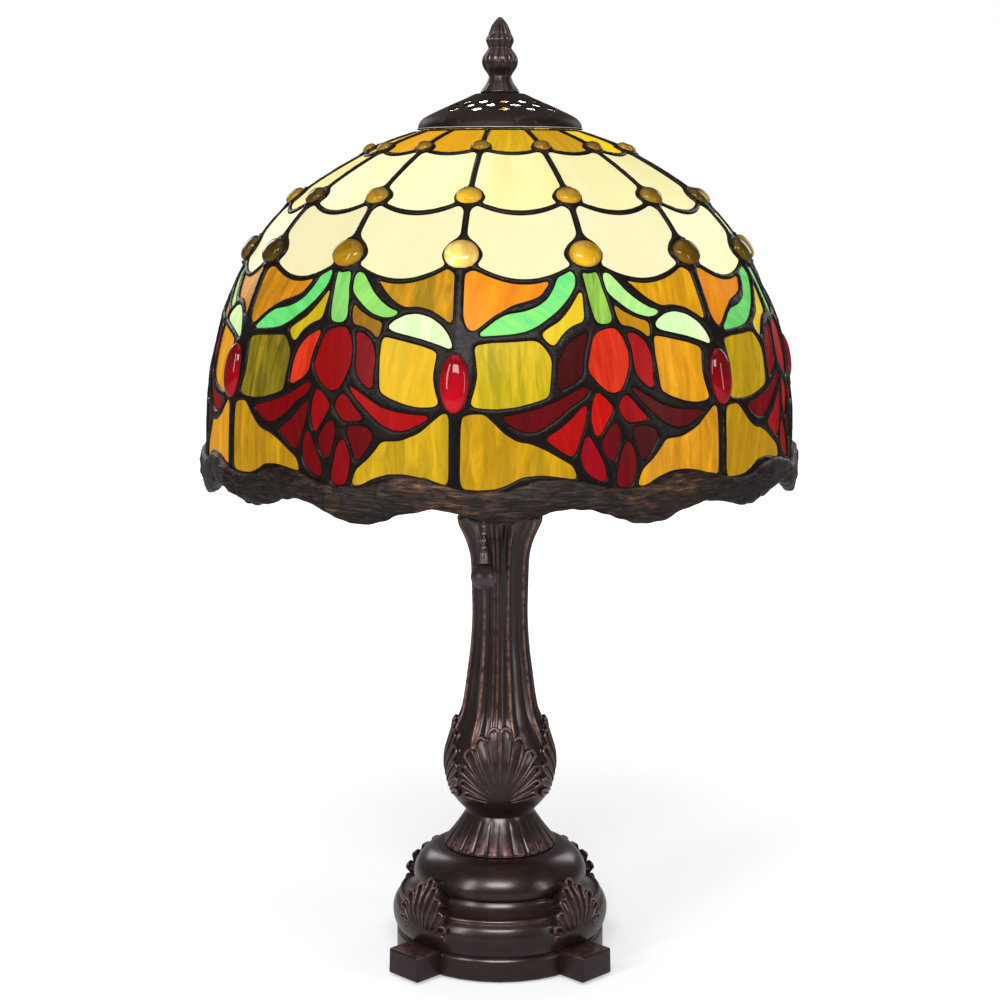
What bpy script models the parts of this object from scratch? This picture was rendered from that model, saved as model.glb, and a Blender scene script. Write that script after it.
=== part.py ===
# Stained glass table lamp: cast base and column, pull-chain socket, harp,
# leaded dome shade in fourteen columns, vented cap and finial.
# Row frame: +Z up, origin on the floor under the middle of the base, front is -Y.
import math

import bmesh
import bpy
from mathutils import Matrix, Vector

MM = 0.001
TAU = 2 * math.pi

# ---- driving dimensions, millimetres ----
COLUMNS = 14                 # columns of panels round the shade, two to a tulip
STEP = TAU / COLUMNS
TULIP_AT = math.radians(17.8)  # the right-hand tulip's meridian, measured from the front towards +X
GLASS = 3.0                  # glass thickness
CAME_GAP, CAME_T = 0.3, 0.9  # lead stands this far off the glass, and is this thick
JOINT_GAP = 0.8              # web of lead between two bands of glass
SHADE = [(41.0, 429.6), (66.5, 419.6), (104.5, 396.0), (127.5, 370.0), (139.5, 346.0),
         (147.3, 321.0), (151.0, 298.0), (152.3, 272.0), (152.0, 248.0)]
ROW_SAG = (6.0, 10.5, 14.0)  # how far each scallop hangs below its jewels, along the glass
ROD_R, ROD_BORE = 4.9, 3.3   # 1/8 IP threaded lamp pipe
CLEAR_R = 5.3                # clearance holes round the pipe
STUD_R = 3.1                 # 1/4-27 harp stud
CHAIN_R = 28.0               # the chain hangs this far from the axis
CHAIN_AZ = math.radians(17.3)  # left of the front
BEAD_R, BEAD_PITCH = 1.2, 3.75
BALL_R, BALL_Z = 6.7, 201.75
MOUTH_Z, OUTLET_Z = 244.0, 260.0
LEVER_PIVOT = -6.0           # lever pivot, behind the axis on the chain's line
LEVER_TIP = 13.0
CORD_R = 2.4
GROMMET_Z = 7.6
RISE = 8.4                   # the base lifts all it carries this far above the heights in the tables below
ON_THE_FLOOR = {"base_casting", "foot_blocks", "cord_hole", "felt_pad", "cord_grommet", "power_cord", "plug_body",
                "plug_blade_hot", "plug_blade_neutral"}

for o in list(bpy.data.objects):
    bpy.data.objects.remove(o)


def material(name, rgb, rough, metal=0.0, alpha=1.0):
    m = bpy.data.materials.new(name)
    m.use_nodes = True
    b = m.node_tree.nodes["Principled BSDF"]
    b.inputs["Base Color"].default_value = (*rgb, 1.0)
    b.inputs["Roughness"].default_value = rough
    b.inputs["Metallic"].default_value = metal
    b.inputs["Alpha"].default_value = alpha
    return m


BRONZE = material("antique_bronze", (0.055, 0.032, 0.025), 0.38, 0.7)
BRASS = material("brass", (0.72, 0.52, 0.22), 0.3, 1.0)
STEEL = material("zinc_steel", (0.6, 0.6, 0.6), 0.35, 1.0)
LEAD = material("dark_solder", (0.03, 0.022, 0.018), 0.45, 0.6)
AMBER = material("amber_glass", (0.85, 0.45, 0.04), 0.2)
CREAM = material("cream_glass", (0.95, 0.88, 0.66), 0.25)
TULIP = material("tulip_band_glass", (0.8, 0.42, 0.06), 0.2)
RUBY = material("ruby_glass", (0.55, 0.01, 0.03), 0.12)
FELT = material("felt", (0.03, 0.05, 0.035), 0.95)
PHENOLIC = material("phenolic", (0.03, 0.03, 0.03), 0.5)
PAPER = material("fibre_paper", (0.45, 0.32, 0.2), 0.9)
CORD = material("cord_jacket", (0.06, 0.035, 0.025), 0.55)
CLEAR = material("clear_glass", (0.95, 0.95, 0.95), 0.05, 0.0, 0.35)
ALU = material("aluminium", (0.75, 0.75, 0.76), 0.3, 1.0)


def place(name, bm, mat, sharp=40):
    bmesh.ops.recalc_face_normals(bm, faces=bm.faces)
    if name not in ON_THE_FLOOR:
        bmesh.ops.translate(bm, verts=bm.verts, vec=(0, 0, RISE * MM))
    me = bpy.data.meshes.new(name)
    bm.to_mesh(me)
    bm.free()
    me.materials.append(mat)
    me.shade_smooth()
    me.set_sharp_from_angle(angle=math.radians(sharp))
    o = bpy.data.objects.new(name, me)
    bpy.context.scene.collection.objects.link(o)
    return o


def turned(name, profile, segs, mat, axis_at=(0.0, 0.0), phase=0.0):
    """A closed (r, z) profile spun round Z. A profile that starts and ends on the axis is closed by it."""
    bm = bmesh.new()
    on_axis = profile[0][0] < 1e-9 and profile[-1][0] < 1e-9
    vs = [bm.verts.new((r * MM, 0, z * MM)) for r, z in profile]
    es = [bm.edges.new((vs[i], vs[i + 1])) for i in range(len(vs) - 1)]
    if not on_axis:
        es.append(bm.edges.new((vs[-1], vs[0])))
    bmesh.ops.spin(bm, geom=vs + es, cent=(0, 0, 0), axis=(0, 0, 1), angle=TAU, steps=segs, use_merge=True)
    bmesh.ops.remove_doubles(bm, verts=bm.verts, dist=1e-7)
    bmesh.ops.dissolve_degenerate(bm, dist=1e-8, edges=bm.edges)
    bmesh.ops.rotate(bm, verts=bm.verts, cent=(0, 0, 0), matrix=Matrix.Rotation(phase, 3, "Z"))
    bmesh.ops.translate(bm, verts=bm.verts, vec=(axis_at[0] * MM, axis_at[1] * MM, 0))
    return place(name, bm, mat)


def sweep(name, path, radius, sides, mat, bore=None, bm=None, keep=False):
    """A round bar along a path of points in mm. radius and bore may be numbers or one value to each point."""
    pts = [Vector(p) * MM for p in path]
    n = len(pts)
    outer = radius if isinstance(radius, (list, tuple)) else [radius] * n
    tang = [(pts[min(i + 1, n - 1)] - pts[max(i - 1, 0)]).normalized() for i in range(n)]
    ref = Vector((0, 0, 1)) if abs(tang[0].z) < 0.9 else Vector((1, 0, 0))
    side = (ref - tang[0] * ref.dot(tang[0])).normalized()
    frames = []
    for t in tang:
        side = (side - t * side.dot(t)).normalized()
        frames.append((side.copy(), t.cross(side)))
    bm = bm or bmesh.new()

    def loops(radii):
        made = []
        for p, (a, b), r in zip(pts, frames, radii):
            made.append([bm.verts.new(p + (a * math.cos(TAU * k / sides) + b * math.sin(TAU * k / sides)) * r * MM)
                         for k in range(sides)])
        return made

    def skin(rings, flip):
        for a, b in zip(rings, rings[1:]):
            for k in range(sides):
                q = [a[k], a[(k + 1) % sides], b[(k + 1) % sides], b[k]]
                bm.faces.new(q[::-1] if flip else q)

    out = loops(outer)
    skin(out, False)
    if bore is None:
        bm.faces.new(out[0][::-1])
        bm.faces.new(out[-1])
    else:
        inner = loops(bore if isinstance(bore, (list, tuple)) else [bore] * n)
        skin(inner, True)
        for k in range(sides):
            j = (k + 1) % sides
            bm.faces.new([out[0][j], out[0][k], inner[0][k], inner[0][j]])
            bm.faces.new([out[-1][k], out[-1][j], inner[-1][j], inner[-1][k]])
    return bm if keep else place(name, bm, mat)


def box(bm, lo, hi):
    made = bmesh.ops.create_cube(bm, size=1.0)["verts"]
    size = [(b - a) * MM for a, b in zip(lo, hi)]
    mid = [(b + a) / 2 * MM for a, b in zip(lo, hi)]
    bmesh.ops.scale(bm, verts=made, vec=size)
    bmesh.ops.translate(bm, verts=made, vec=mid)
    return made


def hidden(o):
    o.hide_render = True
    o.display_type = "WIRE"
    return o


def boolean(o, cutter, how):
    m = o.modifiers.new(how.lower() + "_" + cutter.name, "BOOLEAN")
    m.operation = how
    m.solver = "EXACT"
    m.object = hidden(cutter)
    return o


def rod_cutter(name, a, b, r, sides=24):
    return sweep(name, [a, b], r, sides, STEEL)


def hex_nut(name, z0, z1, across, bore, mat):
    prof = [(bore, z0), (across / 2 / math.cos(math.pi / 6), z0), (across / 2 / math.cos(math.pi / 6), z1), (bore, z1)]
    bm = bmesh.new()
    n = 24
    rings = []
    for r, z in prof:
        ring = []
        for k in range(n):
            a = TAU * k / n
            rr = r
            if r > bore:  # the flats of the hexagon
                rr = across / 2 / math.cos((a + math.pi / 6) % (math.pi / 3) - math.pi / 6)
            ring.append(bm.verts.new((rr * math.cos(a) * MM, rr * math.sin(a) * MM, z * MM)))
        rings.append(ring)
    for i in range(4):
        a, b = rings[i], rings[(i + 1) % 4]
        for k in range(n):
            bm.faces.new([a[k], a[(k + 1) % n], b[(k + 1) % n], b[k]])
    return place(name, bm, mat, 20)


# ================= base =================
base_profile = [(56.0, 1.5), (56.0, 12.4), (54.4, 13.4), (58.0, 19.6), (57.6, 26.4), (53.6, 32.0), (49.4, 35.6),
                (44.8, 39.6), (46.4, 42.4), (44.6, 48.6), (39.6, 55.0), (31.0, 58.9), (CLEAR_R, 58.9),
                (CLEAR_R, 52.9), (29.5, 52.9), (36.6, 49.4), (38.6, 42.0), (46.0, 31.0), (50.5, 24.0), (50.0, 1.5)]
base = turned("base_casting", base_profile, 36, BRONZE)
FOOT_REACH, FOOT_W = 71.0, 21.0
bm = bmesh.new()
for k in range(4):
    vs = box(bm, (52.3, -FOOT_W / 2, 1.35), (FOOT_REACH, FOOT_W / 2, 15.0))
    bmesh.ops.rotate(bm, verts=vs, cent=(0, 0, 0), matrix=Matrix.Rotation(math.radians(45 + 90 * k), 3, "Z"))
feet = place("foot_blocks", bm, BRONZE)
bevel = feet.modifiers.new("edge", "BEVEL")
bevel.width = 1.0 * MM
bevel.segments = 1
boolean(base, feet, "UNION")
boolean(base, rod_cutter("cord_hole", (0, 44, GROMMET_Z), (0, 62, GROMMET_Z), 3.9), "DIFFERENCE")
turned("felt_pad", [(0, 0.0), (53.0, 0.0), (53.0, 1.2), (0, 1.2)], 32, FELT)

# ================= column and its pipe =================
column_profile = [(29.6, 51.0), (29.3, 53.0), (23.0, 60.6), (18.6, 68.6), (24.6, 75.8), (29.4, 84.0), (31.1, 94.0),
                  (29.8, 103.0), (25.1, 115.6), (20.6, 125.0), (17.1, 146.0), (14.8, 168.6), (14.6, 186.0),
                  (15.4, 208.0), (17.1, 216.4), (20.6, 224.4), (22.2, 228.6), (21.2, 231.0), (17.6, 231.4),
                  (16.4, 230.0), (CLEAR_R, 230.0), (CLEAR_R, 51.0)]
turned("column", column_profile, 28, BRONZE)
turned("threaded_rod", [(ROD_BORE, 34.0), (ROD_R, 34.0), (ROD_R, 247.4), (ROD_BORE, 247.4)], 16, STEEL)
hex_nut("rod_nut_bottom", 37.4, 42.0, 14.0, 5.25, STEEL)
turned("rod_washer", [(5.35, 42.4), (10.5, 42.4), (10.5, 44.1), (5.35, 44.1)], 24, STEEL)
turned("vase_cap", [(CLEAR_R, 230.4), (15.6, 230.4), (15.8, 231.4), (13.2, 232.9), (8.5, 234.1), (CLEAR_R, 234.1)],
       20, BRASS)
hex_nut("rod_nut_top", 236.6, 240.3, 14.0, 5.25, STEEL)

# ================= harp =================
HARP_X = 27.0
bm = bmesh.new()
box(bm, (-HARP_X - 0.8, -5.5, 234.6), (HARP_X + 0.8, 5.5, 236.2))
saddle = place("harp_saddle", bm, BRASS)
bm = bmesh.new()
for s in (-1, 1):
    x0, x1 = sorted((s * (HARP_X - 0.8), s * (HARP_X + 0.8)))
    box(bm, (x0, -5.5, 235.2), (x1, 5.5, 243.0))
tabs = place("saddle_tabs", bm, BRASS)
bm = bmesh.new()
for s in (-1, 1):
    x0, x1 = sorted((s * (HARP_X - 0.79), s * (HARP_X + 0.79)))
    box(bm, (x0, -1.5, 242.0), (x1, 1.5, 250.8))
pins = place("saddle_pins", bm, BRASS)
boolean(saddle, tabs, "UNION")
boolean(saddle, pins, "UNION")
boolean(saddle, rod_cutter("saddle_hole", (0, 0, 230), (0, 0, 239), CLEAR_R), "DIFFERENCE")

half = [(27.0, 251.2), (27.0, 262.0), (27.0, 272.0), (28.6, 280.0), (34.0, 290.0), (44.0, 302.0), (52.0, 316.0),
        (56.0, 334.0), (56.0, 352.0), (53.0, 370.0), (46.0, 387.0), (36.0, 402.0), (24.0, 414.0), (12.0, 422.5),
        (5.0, 425.6), (0.0, 426.0)]
path = [(x, 0, z) for x, z in half] + [(-x, 0, z) for x, z in half[-2::-1]]
bow = sweep("harp_bow", path, 1.7, 6, BRASS)
boolean(bow, turned("harp_pad", [(0, 424.2), (5.6, 424.2), (5.6, 428.0), (0, 428.0)], 16, BRASS), "UNION")
turned("finial_stud", [(0, 428.3), (5.0, 428.3), (5.0, 430.5), (STUD_R, 430.5), (STUD_R, 456.0), (2.5, 456.6),
                       (0, 456.6)], 16, BRASS)
for s, side in ((-1, "left"), (1, "right")):
    turned("harp_ferrule_" + side, [(2.4, 246.2), (3.9, 246.2), (3.9, 247.4), (3.4, 248.0), (3.4, 256.8), (3.9, 257.4),
                                    (3.9, 258.4), (2.4, 258.4)], 12, BRASS, axis_at=(s * HARP_X, 0))

# ================= socket =================
ax, ay = -math.sin(CHAIN_AZ), -math.cos(CHAIN_AZ)  # unit vector from the axis towards the chain
tx, ty = -ay, ax                                   # sideways to it


def at(r, z, t=0.0):
    return (ax * r + tx * t, ay * r + ty * t, z)


turned("socket_cap", [(CLEAR_R, 240.7), (7.8, 240.7), (7.8, 244.4), (12.0, 246.2), (15.4, 248.8), (16.2, 251.8),
                      (16.2, 256.0), (15.4, 256.0), (15.4, 252.2), (14.6, 250.0), (11.6, 247.4), (CLEAR_R, 246.0)],
       22, BRASS)
shell = turned("socket_shell", [(16.6, 254.6), (17.4, 254.6), (17.4, 290.6), (18.1, 292.6), (17.6, 293.4),
                                (16.6, 291.2)], 22, BRASS)
boolean(shell, rod_cutter("outlet_hole", at(10, OUTLET_Z), at(24, OUTLET_Z), 3.7, 12), "DIFFERENCE")
sleeve = turned("socket_insulator", [(15.5, 256.5), (16.2, 256.5), (16.2, 290.6), (15.5, 290.6)], 22, PAPER)
boolean(sleeve, rod_cutter("sleeve_hole", at(10, OUTLET_Z), at(22, OUTLET_Z), 3.7, 12), "DIFFERENCE")
body = turned("socket_body", [(0, 251.2), (14.3, 251.2), (14.6, 252.0), (14.6, 283.0), (13.9, 283.0), (13.9, 264.5),
                              (0, 264.5)], 22, PHENOLIC)
bm = bmesh.new()
vs = box(bm, (-11.0, -2.4, 252.6), (18.0, 2.4, 263.0))
bmesh.ops.rotate(bm, verts=vs, cent=(0, 0, 0), matrix=Matrix.Rotation(math.atan2(ay, ax), 3, "Z"))
boolean(body, place("lever_slot", bm, STEEL), "DIFFERENCE")
boolean(body, rod_cutter("rotor_pocket", at(2.0, 258.0, 2.0), at(2.0, 258.0, 8.0), 4.5, 12), "DIFFERENCE")
for s, word in ((-1, "neutral"), (1, "hot")):
    cx, cy = at(-4.0, 0)[0] + tx * 9.0 * s, at(-4.0, 0)[1] + ty * 9.0 * s
    boolean(body, rod_cutter("screw_hole_" + word, (cx, cy, 248), (cx, cy, 257), 1.7, 12), "DIFFERENCE")
    turned("terminal_screw_" + word, [(0, 248.6), (2.4, 248.6), (2.6, 249.2), (2.6, 250.8), (1.3, 250.8),
                                      (1.3, 256.2), (0, 256.2)], 12, BRASS if s > 0 else STEEL, axis_at=(cx, cy))
turned("socket_screw_shell", [(11.0, 265.0), (13.5, 265.0), (13.5, 288.4), (14.9, 289.6), (14.9, 290.2),
                              (13.1, 289.6), (13.1, 265.5), (11.0, 265.5)], 22, ALU)
turned("socket_center_contact", [(0, 264.9), (4.2, 264.9), (4.2, 265.3), (2.2, 265.9), (0, 265.9)], 16, BRASS)

elbow = [at(16.5, OUTLET_Z), at(20.0, OUTLET_Z), at(23.0, OUTLET_Z)]
for k in range(1, 4):
    a = math.pi / 2 * k / 4
    elbow.append(at(23.0 + 5.0 * math.sin(a), OUTLET_Z - 5.0 * (1 - math.cos(a))))
elbow += [at(CHAIN_R, 255.0), at(CHAIN_R, 246.5), at(CHAIN_R, MOUTH_Z)]
n = len(elbow)
sweep("chain_guide", elbow, [3.3] * (n - 2) + [3.4, 4.1], 10, BRASS, bore=[2.3] * (n - 2) + [2.4, 3.2])

# the switch: a lever the chain draws down, a rotor it turns, and the spring that returns it
bm = bmesh.new()
box(bm, (LEVER_PIVOT, -1.0, 258.9), (LEVER_TIP, 1.0, 261.1))
lever = place("switch_lever", bm, BRASS)
lever.rotation_euler = (0, 0, math.atan2(ay, ax))
boss = rod_cutter("lever_boss", (LEVER_PIVOT, -1.01, 260), (LEVER_PIVOT, 1.01, 260), 2.4, 16)
boss.rotation_euler = lever.rotation_euler
boolean(lever, boss, "UNION")
pivot = rod_cutter("lever_pivot_hole", (LEVER_PIVOT, -3, 260), (LEVER_PIVOT, 3, 260), 1.0, 12)
pivot.rotation_euler = lever.rotation_euler
boolean(lever, pivot, "DIFFERENCE")
sweep("switch_rotor", [at(2.0, 258.0, 2.9), at(2.0, 258.0, 7.4)], 4.0, 16, BRASS)
coil = []
for k in range(25):
    a = TAU * 3 * k / 24
    c = at(8.0 + 1.3 * math.cos(a), 253.2 + 5.0 * k / 24, 1.3 * math.sin(a))
    coil.append(c)
sweep("lever_spring", coil, 0.35, 4, STEEL)

# ================= pull chain =================


def beads(name, zs, mat, bottom=None):
    """Small hollow-looking balls on one wire, as a bead chain is."""
    prof = [(0, zs[0] + BEAD_R)]
    for z in zs:
        for k in (1, 3, 5):
            a = math.pi * k / 6
            r, zz = BEAD_R * math.sin(a), z + BEAD_R * math.cos(a)
            prof.append((max(r, 0.45), zz))
    prof.append((0.45, zs[-1] - BEAD_R) if bottom is not None else (0, zs[-1] - BEAD_R))
    if bottom is not None:
        prof += [(0.45, bottom), (0, bottom)]
    return turned(name, prof, 8, mat, axis_at=at(CHAIN_R, 0)[:2])


beads("chain_top_link", [253.0, 249.2], BRONZE)
chain_zs = [243.4 - BEAD_PITCH * k for k in range(8)]
beads("pull_chain", chain_zs, BRONZE)
cz = chain_zs[-1] - BEAD_R - 0.35
turned("chain_coupling", [(0, cz), (1.5, cz), (2.1, cz - 1.2), (2.1, BALL_Z + 7.8), (0, BALL_Z + 7.8)], 10, BRONZE,
       axis_at=at(CHAIN_R, 0)[:2])
ball = [(0, BALL_Z + BALL_R)]
for k in range(1, 8):
    a = math.pi * k / 8
    ball.append((BALL_R * math.sin(a), BALL_Z + BALL_R * 0.97 * math.cos(a)))
ball.append((0, BALL_Z - BALL_R * 0.97))
turned("pull_ball", ball, 16, BRONZE, axis_at=at(CHAIN_R, 0)[:2])

# ================= bulb =================
thread = [(4.8, 269.2), (4.8, 268.4), (9.5, 269.2), (11.6, 271.2)]
for k in range(5):
    z = 272.6 + 3.63 * k
    thread += [(12.7, z + 0.4), (12.0, z + 2.1)]
thread += [(12.7, 290.8), (12.7, 291.6), (11.2, 291.6), (11.2, 272.0), (9.2, 270.2)]
turned("bulb_base", thread, 20, ALU)
turned("bulb_contact", [(0, 266.3), (2.6, 266.3), (4.3, 267.2), (4.3, 269.8), (0, 269.8)], 16, BRASS)
outside = [(12.8, 292.0), (14.0, 298.0), (22.4, 316.0), (28.4, 331.0), (30.0, 345.0), (28.0, 358.5),
           (21.6, 369.6), (11.0, 375.3), (0, 376.4)]
inside = [(max(r - 0.8, 0), z - (0.8 if z > 360 else 0)) for r, z in reversed(outside)]
turned("bulb_glass", inside + outside, 22, CLEAR)
turned("bulb_stem", [(0, 292.4), (9.5, 292.4), (7.0, 298.0), (3.4, 306.0), (2.2, 326.0), (1.6, 337.0), (0, 337.6)],
       14, CLEAR)
loop = []
for k in range(17):
    a = TAU * k / 16 * 0.86
    loop.append((11.0 * math.cos(a), 11.0 * math.sin(a), 341.0 + 1.2 * math.sin(3 * a)))
sweep("filament", loop, 0.5, 4, STEEL)

# ================= cap and finial =================
turned("heat_cap_blank", [(3.6, 447.4), (11.9, 447.4), (17.9, 444.9), (26.9, 441.0), (37.2, 436.1), (40.7, 432.6),
                          (41.0, 430.2), (42.0, 430.2), (41.7, 433.2), (37.8, 437.1), (27.4, 442.0),
                          (18.4, 445.9), (12.6, 448.4), (3.6, 448.4)], 28, BRONZE)
cap = bpy.data.objects["heat_cap_blank"]
cap.name = "heat_cap"
bm = bmesh.new()
VENTS = 14
for row, (r, dz) in enumerate(((23.5, 443.2), (27.3, 441.5), (31.1, 439.8))):
    for k in range(VENTS):
        a = TAU * (k + 0.5 * (row % 2)) / VENTS
        w, h = 2.3 + 0.25 * row, 1.25
        ring_lo, ring_hi = [], []
        for du, dr in ((-w, 0), (0, -h), (w, 0), (0, h)):
            x, y = (r + dr), du
            p = (x * math.cos(a) - y * math.sin(a), x * math.sin(a) + y * math.cos(a))
            ring_lo.append(bm.verts.new((p[0] * MM, p[1] * MM, (dz - 5) * MM)))
            ring_hi.append(bm.verts.new((p[0] * MM, p[1] * MM, (dz + 5) * MM)))
        bm.faces.new(ring_lo[::-1])
        bm.faces.new(ring_hi)
        for i in range(4):
            j = (i + 1) % 4
            bm.faces.new([ring_lo[i], ring_lo[j], ring_hi[j], ring_hi[i]])
boolean(cap, place("vent_punch", bm, STEEL), "DIFFERENCE")

finial_profile = [(4.6, 448.8), (9.8, 448.8), (10.0, 449.8), (8.4, 451.6), (6.6, 454.4), (5.9, 457.0), (6.7, 459.4),
                  (8.4, 461.8), (9.2, 464.8), (8.5, 467.6), (6.6, 470.0), (5.6, 471.6), (5.9, 473.4), (7.0, 475.5),
                  (6.2, 477.4), (4.8, 480.2), (2.9, 483.8), (1.1, 486.5), (0, 487.1)]
turned("finial", [(0, 459.0), (4.6, 459.0)] + finial_profile, 16, BRONZE)
turned("finial_insert", [(3.45, 449.4), (4.25, 449.4), (4.25, 457.6), (3.45, 457.6)], 14, BRASS)

# ================= shade =================
arc = [0.0]
for (r0, z0), (r1, z1) in zip(SHADE, SHADE[1:]):
    arc.append(arc[-1] + math.hypot(r1 - r0, z1 - z0))
S_ROW = (arc[1], arc[2], arc[3])  # along the glass from its top edge to each row of jewels
S_END = arc[-1]


def shade_point(s, off=0.0):
    """(r, z) on the outer face of the glass, s along it from the top edge; off stands away from it."""
    i = 0
    while i < len(arc) - 2 and s > arc[i + 1]:
        i += 1
    t = (s - arc[i]) / (arc[i + 1] - arc[i])
    (r0, z0), (r1, z1) = SHADE[i], SHADE[i + 1]

    def normal(j):
        a, b = SHADE[max(j - 1, 0)], SHADE[min(j + 1, len(SHADE) - 1)]
        d = math.hypot(b[0] - a[0], b[1] - a[1])
        return (-(b[1] - a[1]) / d, (b[0] - a[0]) / d)

    n0, n1 = normal(i), normal(i + 1)
    nr, nz = n0[0] * (1 - t) + n1[0] * t, n0[1] * (1 - t) + n1[1] * t
    d = math.hypot(nr, nz)
    return r0 + (r1 - r0) * t + nr / d * off, z0 + (z1 - z0) * t + nz / d * off


def on_shade(theta, s, off=0.0):
    """theta is measured from the front (-Y) towards +X."""
    r, z = shade_point(s, off)
    return (r * math.sin(theta) * MM, -r * math.cos(theta) * MM, z * MM)


def scallop(row, theta):
    return S_ROW[row] + ROW_SAG[row] * abs(math.sin((theta - TULIP_AT) * COLUMNS / 2)) ** 0.75


def rim_top(theta):
    u = (theta - TULIP_AT) / STEP
    return S_END - 18.6 + 3.0 * math.cos(TAU * (u - 0.2))


def rim_bottom(theta):
    """The border hangs in one deep lobe beside each tulip and a shallow one between tulips."""
    u = (theta - TULIP_AT) / STEP
    return S_END - 4.0 + 3.4 * math.cos(TAU * (u - 0.33)) + 1.4 * math.cos(math.pi * (u - 0.41))


SEG = COLUMNS * 3
ANG = [TULIP_AT + TAU * k / SEG for k in range(SEG)]


def band(name, top, bottom, steps, off_in, off_out, mat):
    """A ring of glass or metal between two edge curves, with an outer and an inner face."""
    bm = bmesh.new()
    grid = {}
    for face, off in ((0, off_in), (1, off_out)):
        for i, th in enumerate(ANG):
            a, b = top(th), bottom(th)
            for j in range(steps + 1):
                grid[face, i, j] = bm.verts.new(on_shade(th, a + (b - a) * j / steps, off))
    for i in range(SEG):
        k = (i + 1) % SEG
        for j in range(steps):
            bm.faces.new([grid[1, i, j], grid[1, i, j + 1], grid[1, k, j + 1], grid[1, k, j]])
            bm.faces.new([grid[0, i, j], grid[0, k, j], grid[0, k, j + 1], grid[0, i, j + 1]])
        bm.faces.new([grid[0, i, 0], grid[1, i, 0], grid[1, k, 0], grid[0, k, 0]])
        bm.faces.new([grid[0, i, steps], grid[0, k, steps], grid[1, k, steps], grid[1, i, steps]])
    return place(name, bm, mat, 60)


G = JOINT_GAP / 2
band("crown_glass", lambda t: 0.0, lambda t: scallop(0, t) - G, 2, -GLASS, 0.0, AMBER)
band("cream_glass_upper", lambda t: scallop(0, t) + G, lambda t: scallop(1, t) - G, 2, -GLASS, 0.0, CREAM)
band("cream_glass_lower", lambda t: scallop(1, t) + G, lambda t: scallop(2, t) - G, 2, -GLASS, 0.0, CREAM)
band("tulip_band_glass", lambda t: scallop(2, t) + G, lambda t: rim_top(t) - G, 4, -GLASS, 0.0, TULIP)
band("rim_border", rim_top, rim_bottom, 2, -3.6, 1.2, BRONZE)


def came_network():
    """The lead that shows on the outside: three scalloped rings and the ribs between them, as one sheet with thickness."""
    bm = bmesh.new()
    verts = {}
    half_rib = math.radians(0.75)

    def v(th, s):
        key = (round(th % TAU, 5), round(s, 4))
        if key not in verts:
            verts[key] = (bm.verts.new(on_shade(th, s, CAME_GAP)), bm.verts.new(on_shade(th, s, CAME_GAP + CAME_T)))
        return verts[key]

    cells = []
    angles = []
    for c in range(COLUMNS):
        mid = TULIP_AT + STEP * c
        angles += [mid - half_rib, mid + half_rib] + [mid + STEP * f for f in (1 / 3, 2 / 3)]
    angles.sort()
    n = len(angles)

    def is_rib(i):
        f = ((angles[i] - TULIP_AT) / STEP) % 1.0
        return f > 0.9

    rings = [(lambda t, k=k: scallop(k, t) - 1.6, lambda t, k=k: scallop(k, t) + 1.6) for k in range(3)]
    lower = (lambda t: rim_top(t) - 3.6, lambda t: rim_top(t) - 0.9)
    all_rings = rings + [lower]
    for top, bottom in all_rings:
        for i in range(n):
            a, b = angles[i], angles[(i + 1) % n]
            cells.append([(a, top(a)), (a, bottom(a)), (b, bottom(b)), (b, top(b))])
    spans = [(lambda t: 4.0, rings[0][0], 2), (rings[0][1], rings[1][0], 2), (rings[1][1], rings[2][0], 2),
             (rings[2][1], lower[0], 4)]
    for top, bottom, steps in spans:
        for i in range(n):
            if not is_rib(i):
                continue
            a, b = angles[i], angles[(i + 1) % n]
            for j in range(steps):
                f, g = j / steps, (j + 1) / steps
                sa = [top(a) + (bottom(a) - top(a)) * x for x in (f, g)]
                sb = [top(b) + (bottom(b) - top(b)) * x for x in (f, g)]
                cells.append([(a, sa[0]), (a, sa[1]), (b, sb[1]), (b, sb[0])])
    edge_count = {}
    for cell in cells:
        quad = [v(*c) for c in cell]
        bm.faces.new([q[1] for q in quad])
        bm.faces.new([q[0] for q in reversed(quad)])
        for i in range(4):
            key = frozenset((quad[i], quad[(i + 1) % 4]))
            edge_count.setdefault(key, []).append((quad[i], quad[(i + 1) % 4]))
    for uses in edge_count.values():
        if len(uses) == 1:
            a, b = uses[0]
            bm.faces.new([a[0], b[0], b[1], a[1]])
    return place("lead_came_network", bm, LEAD, 60)


came_network()


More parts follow.
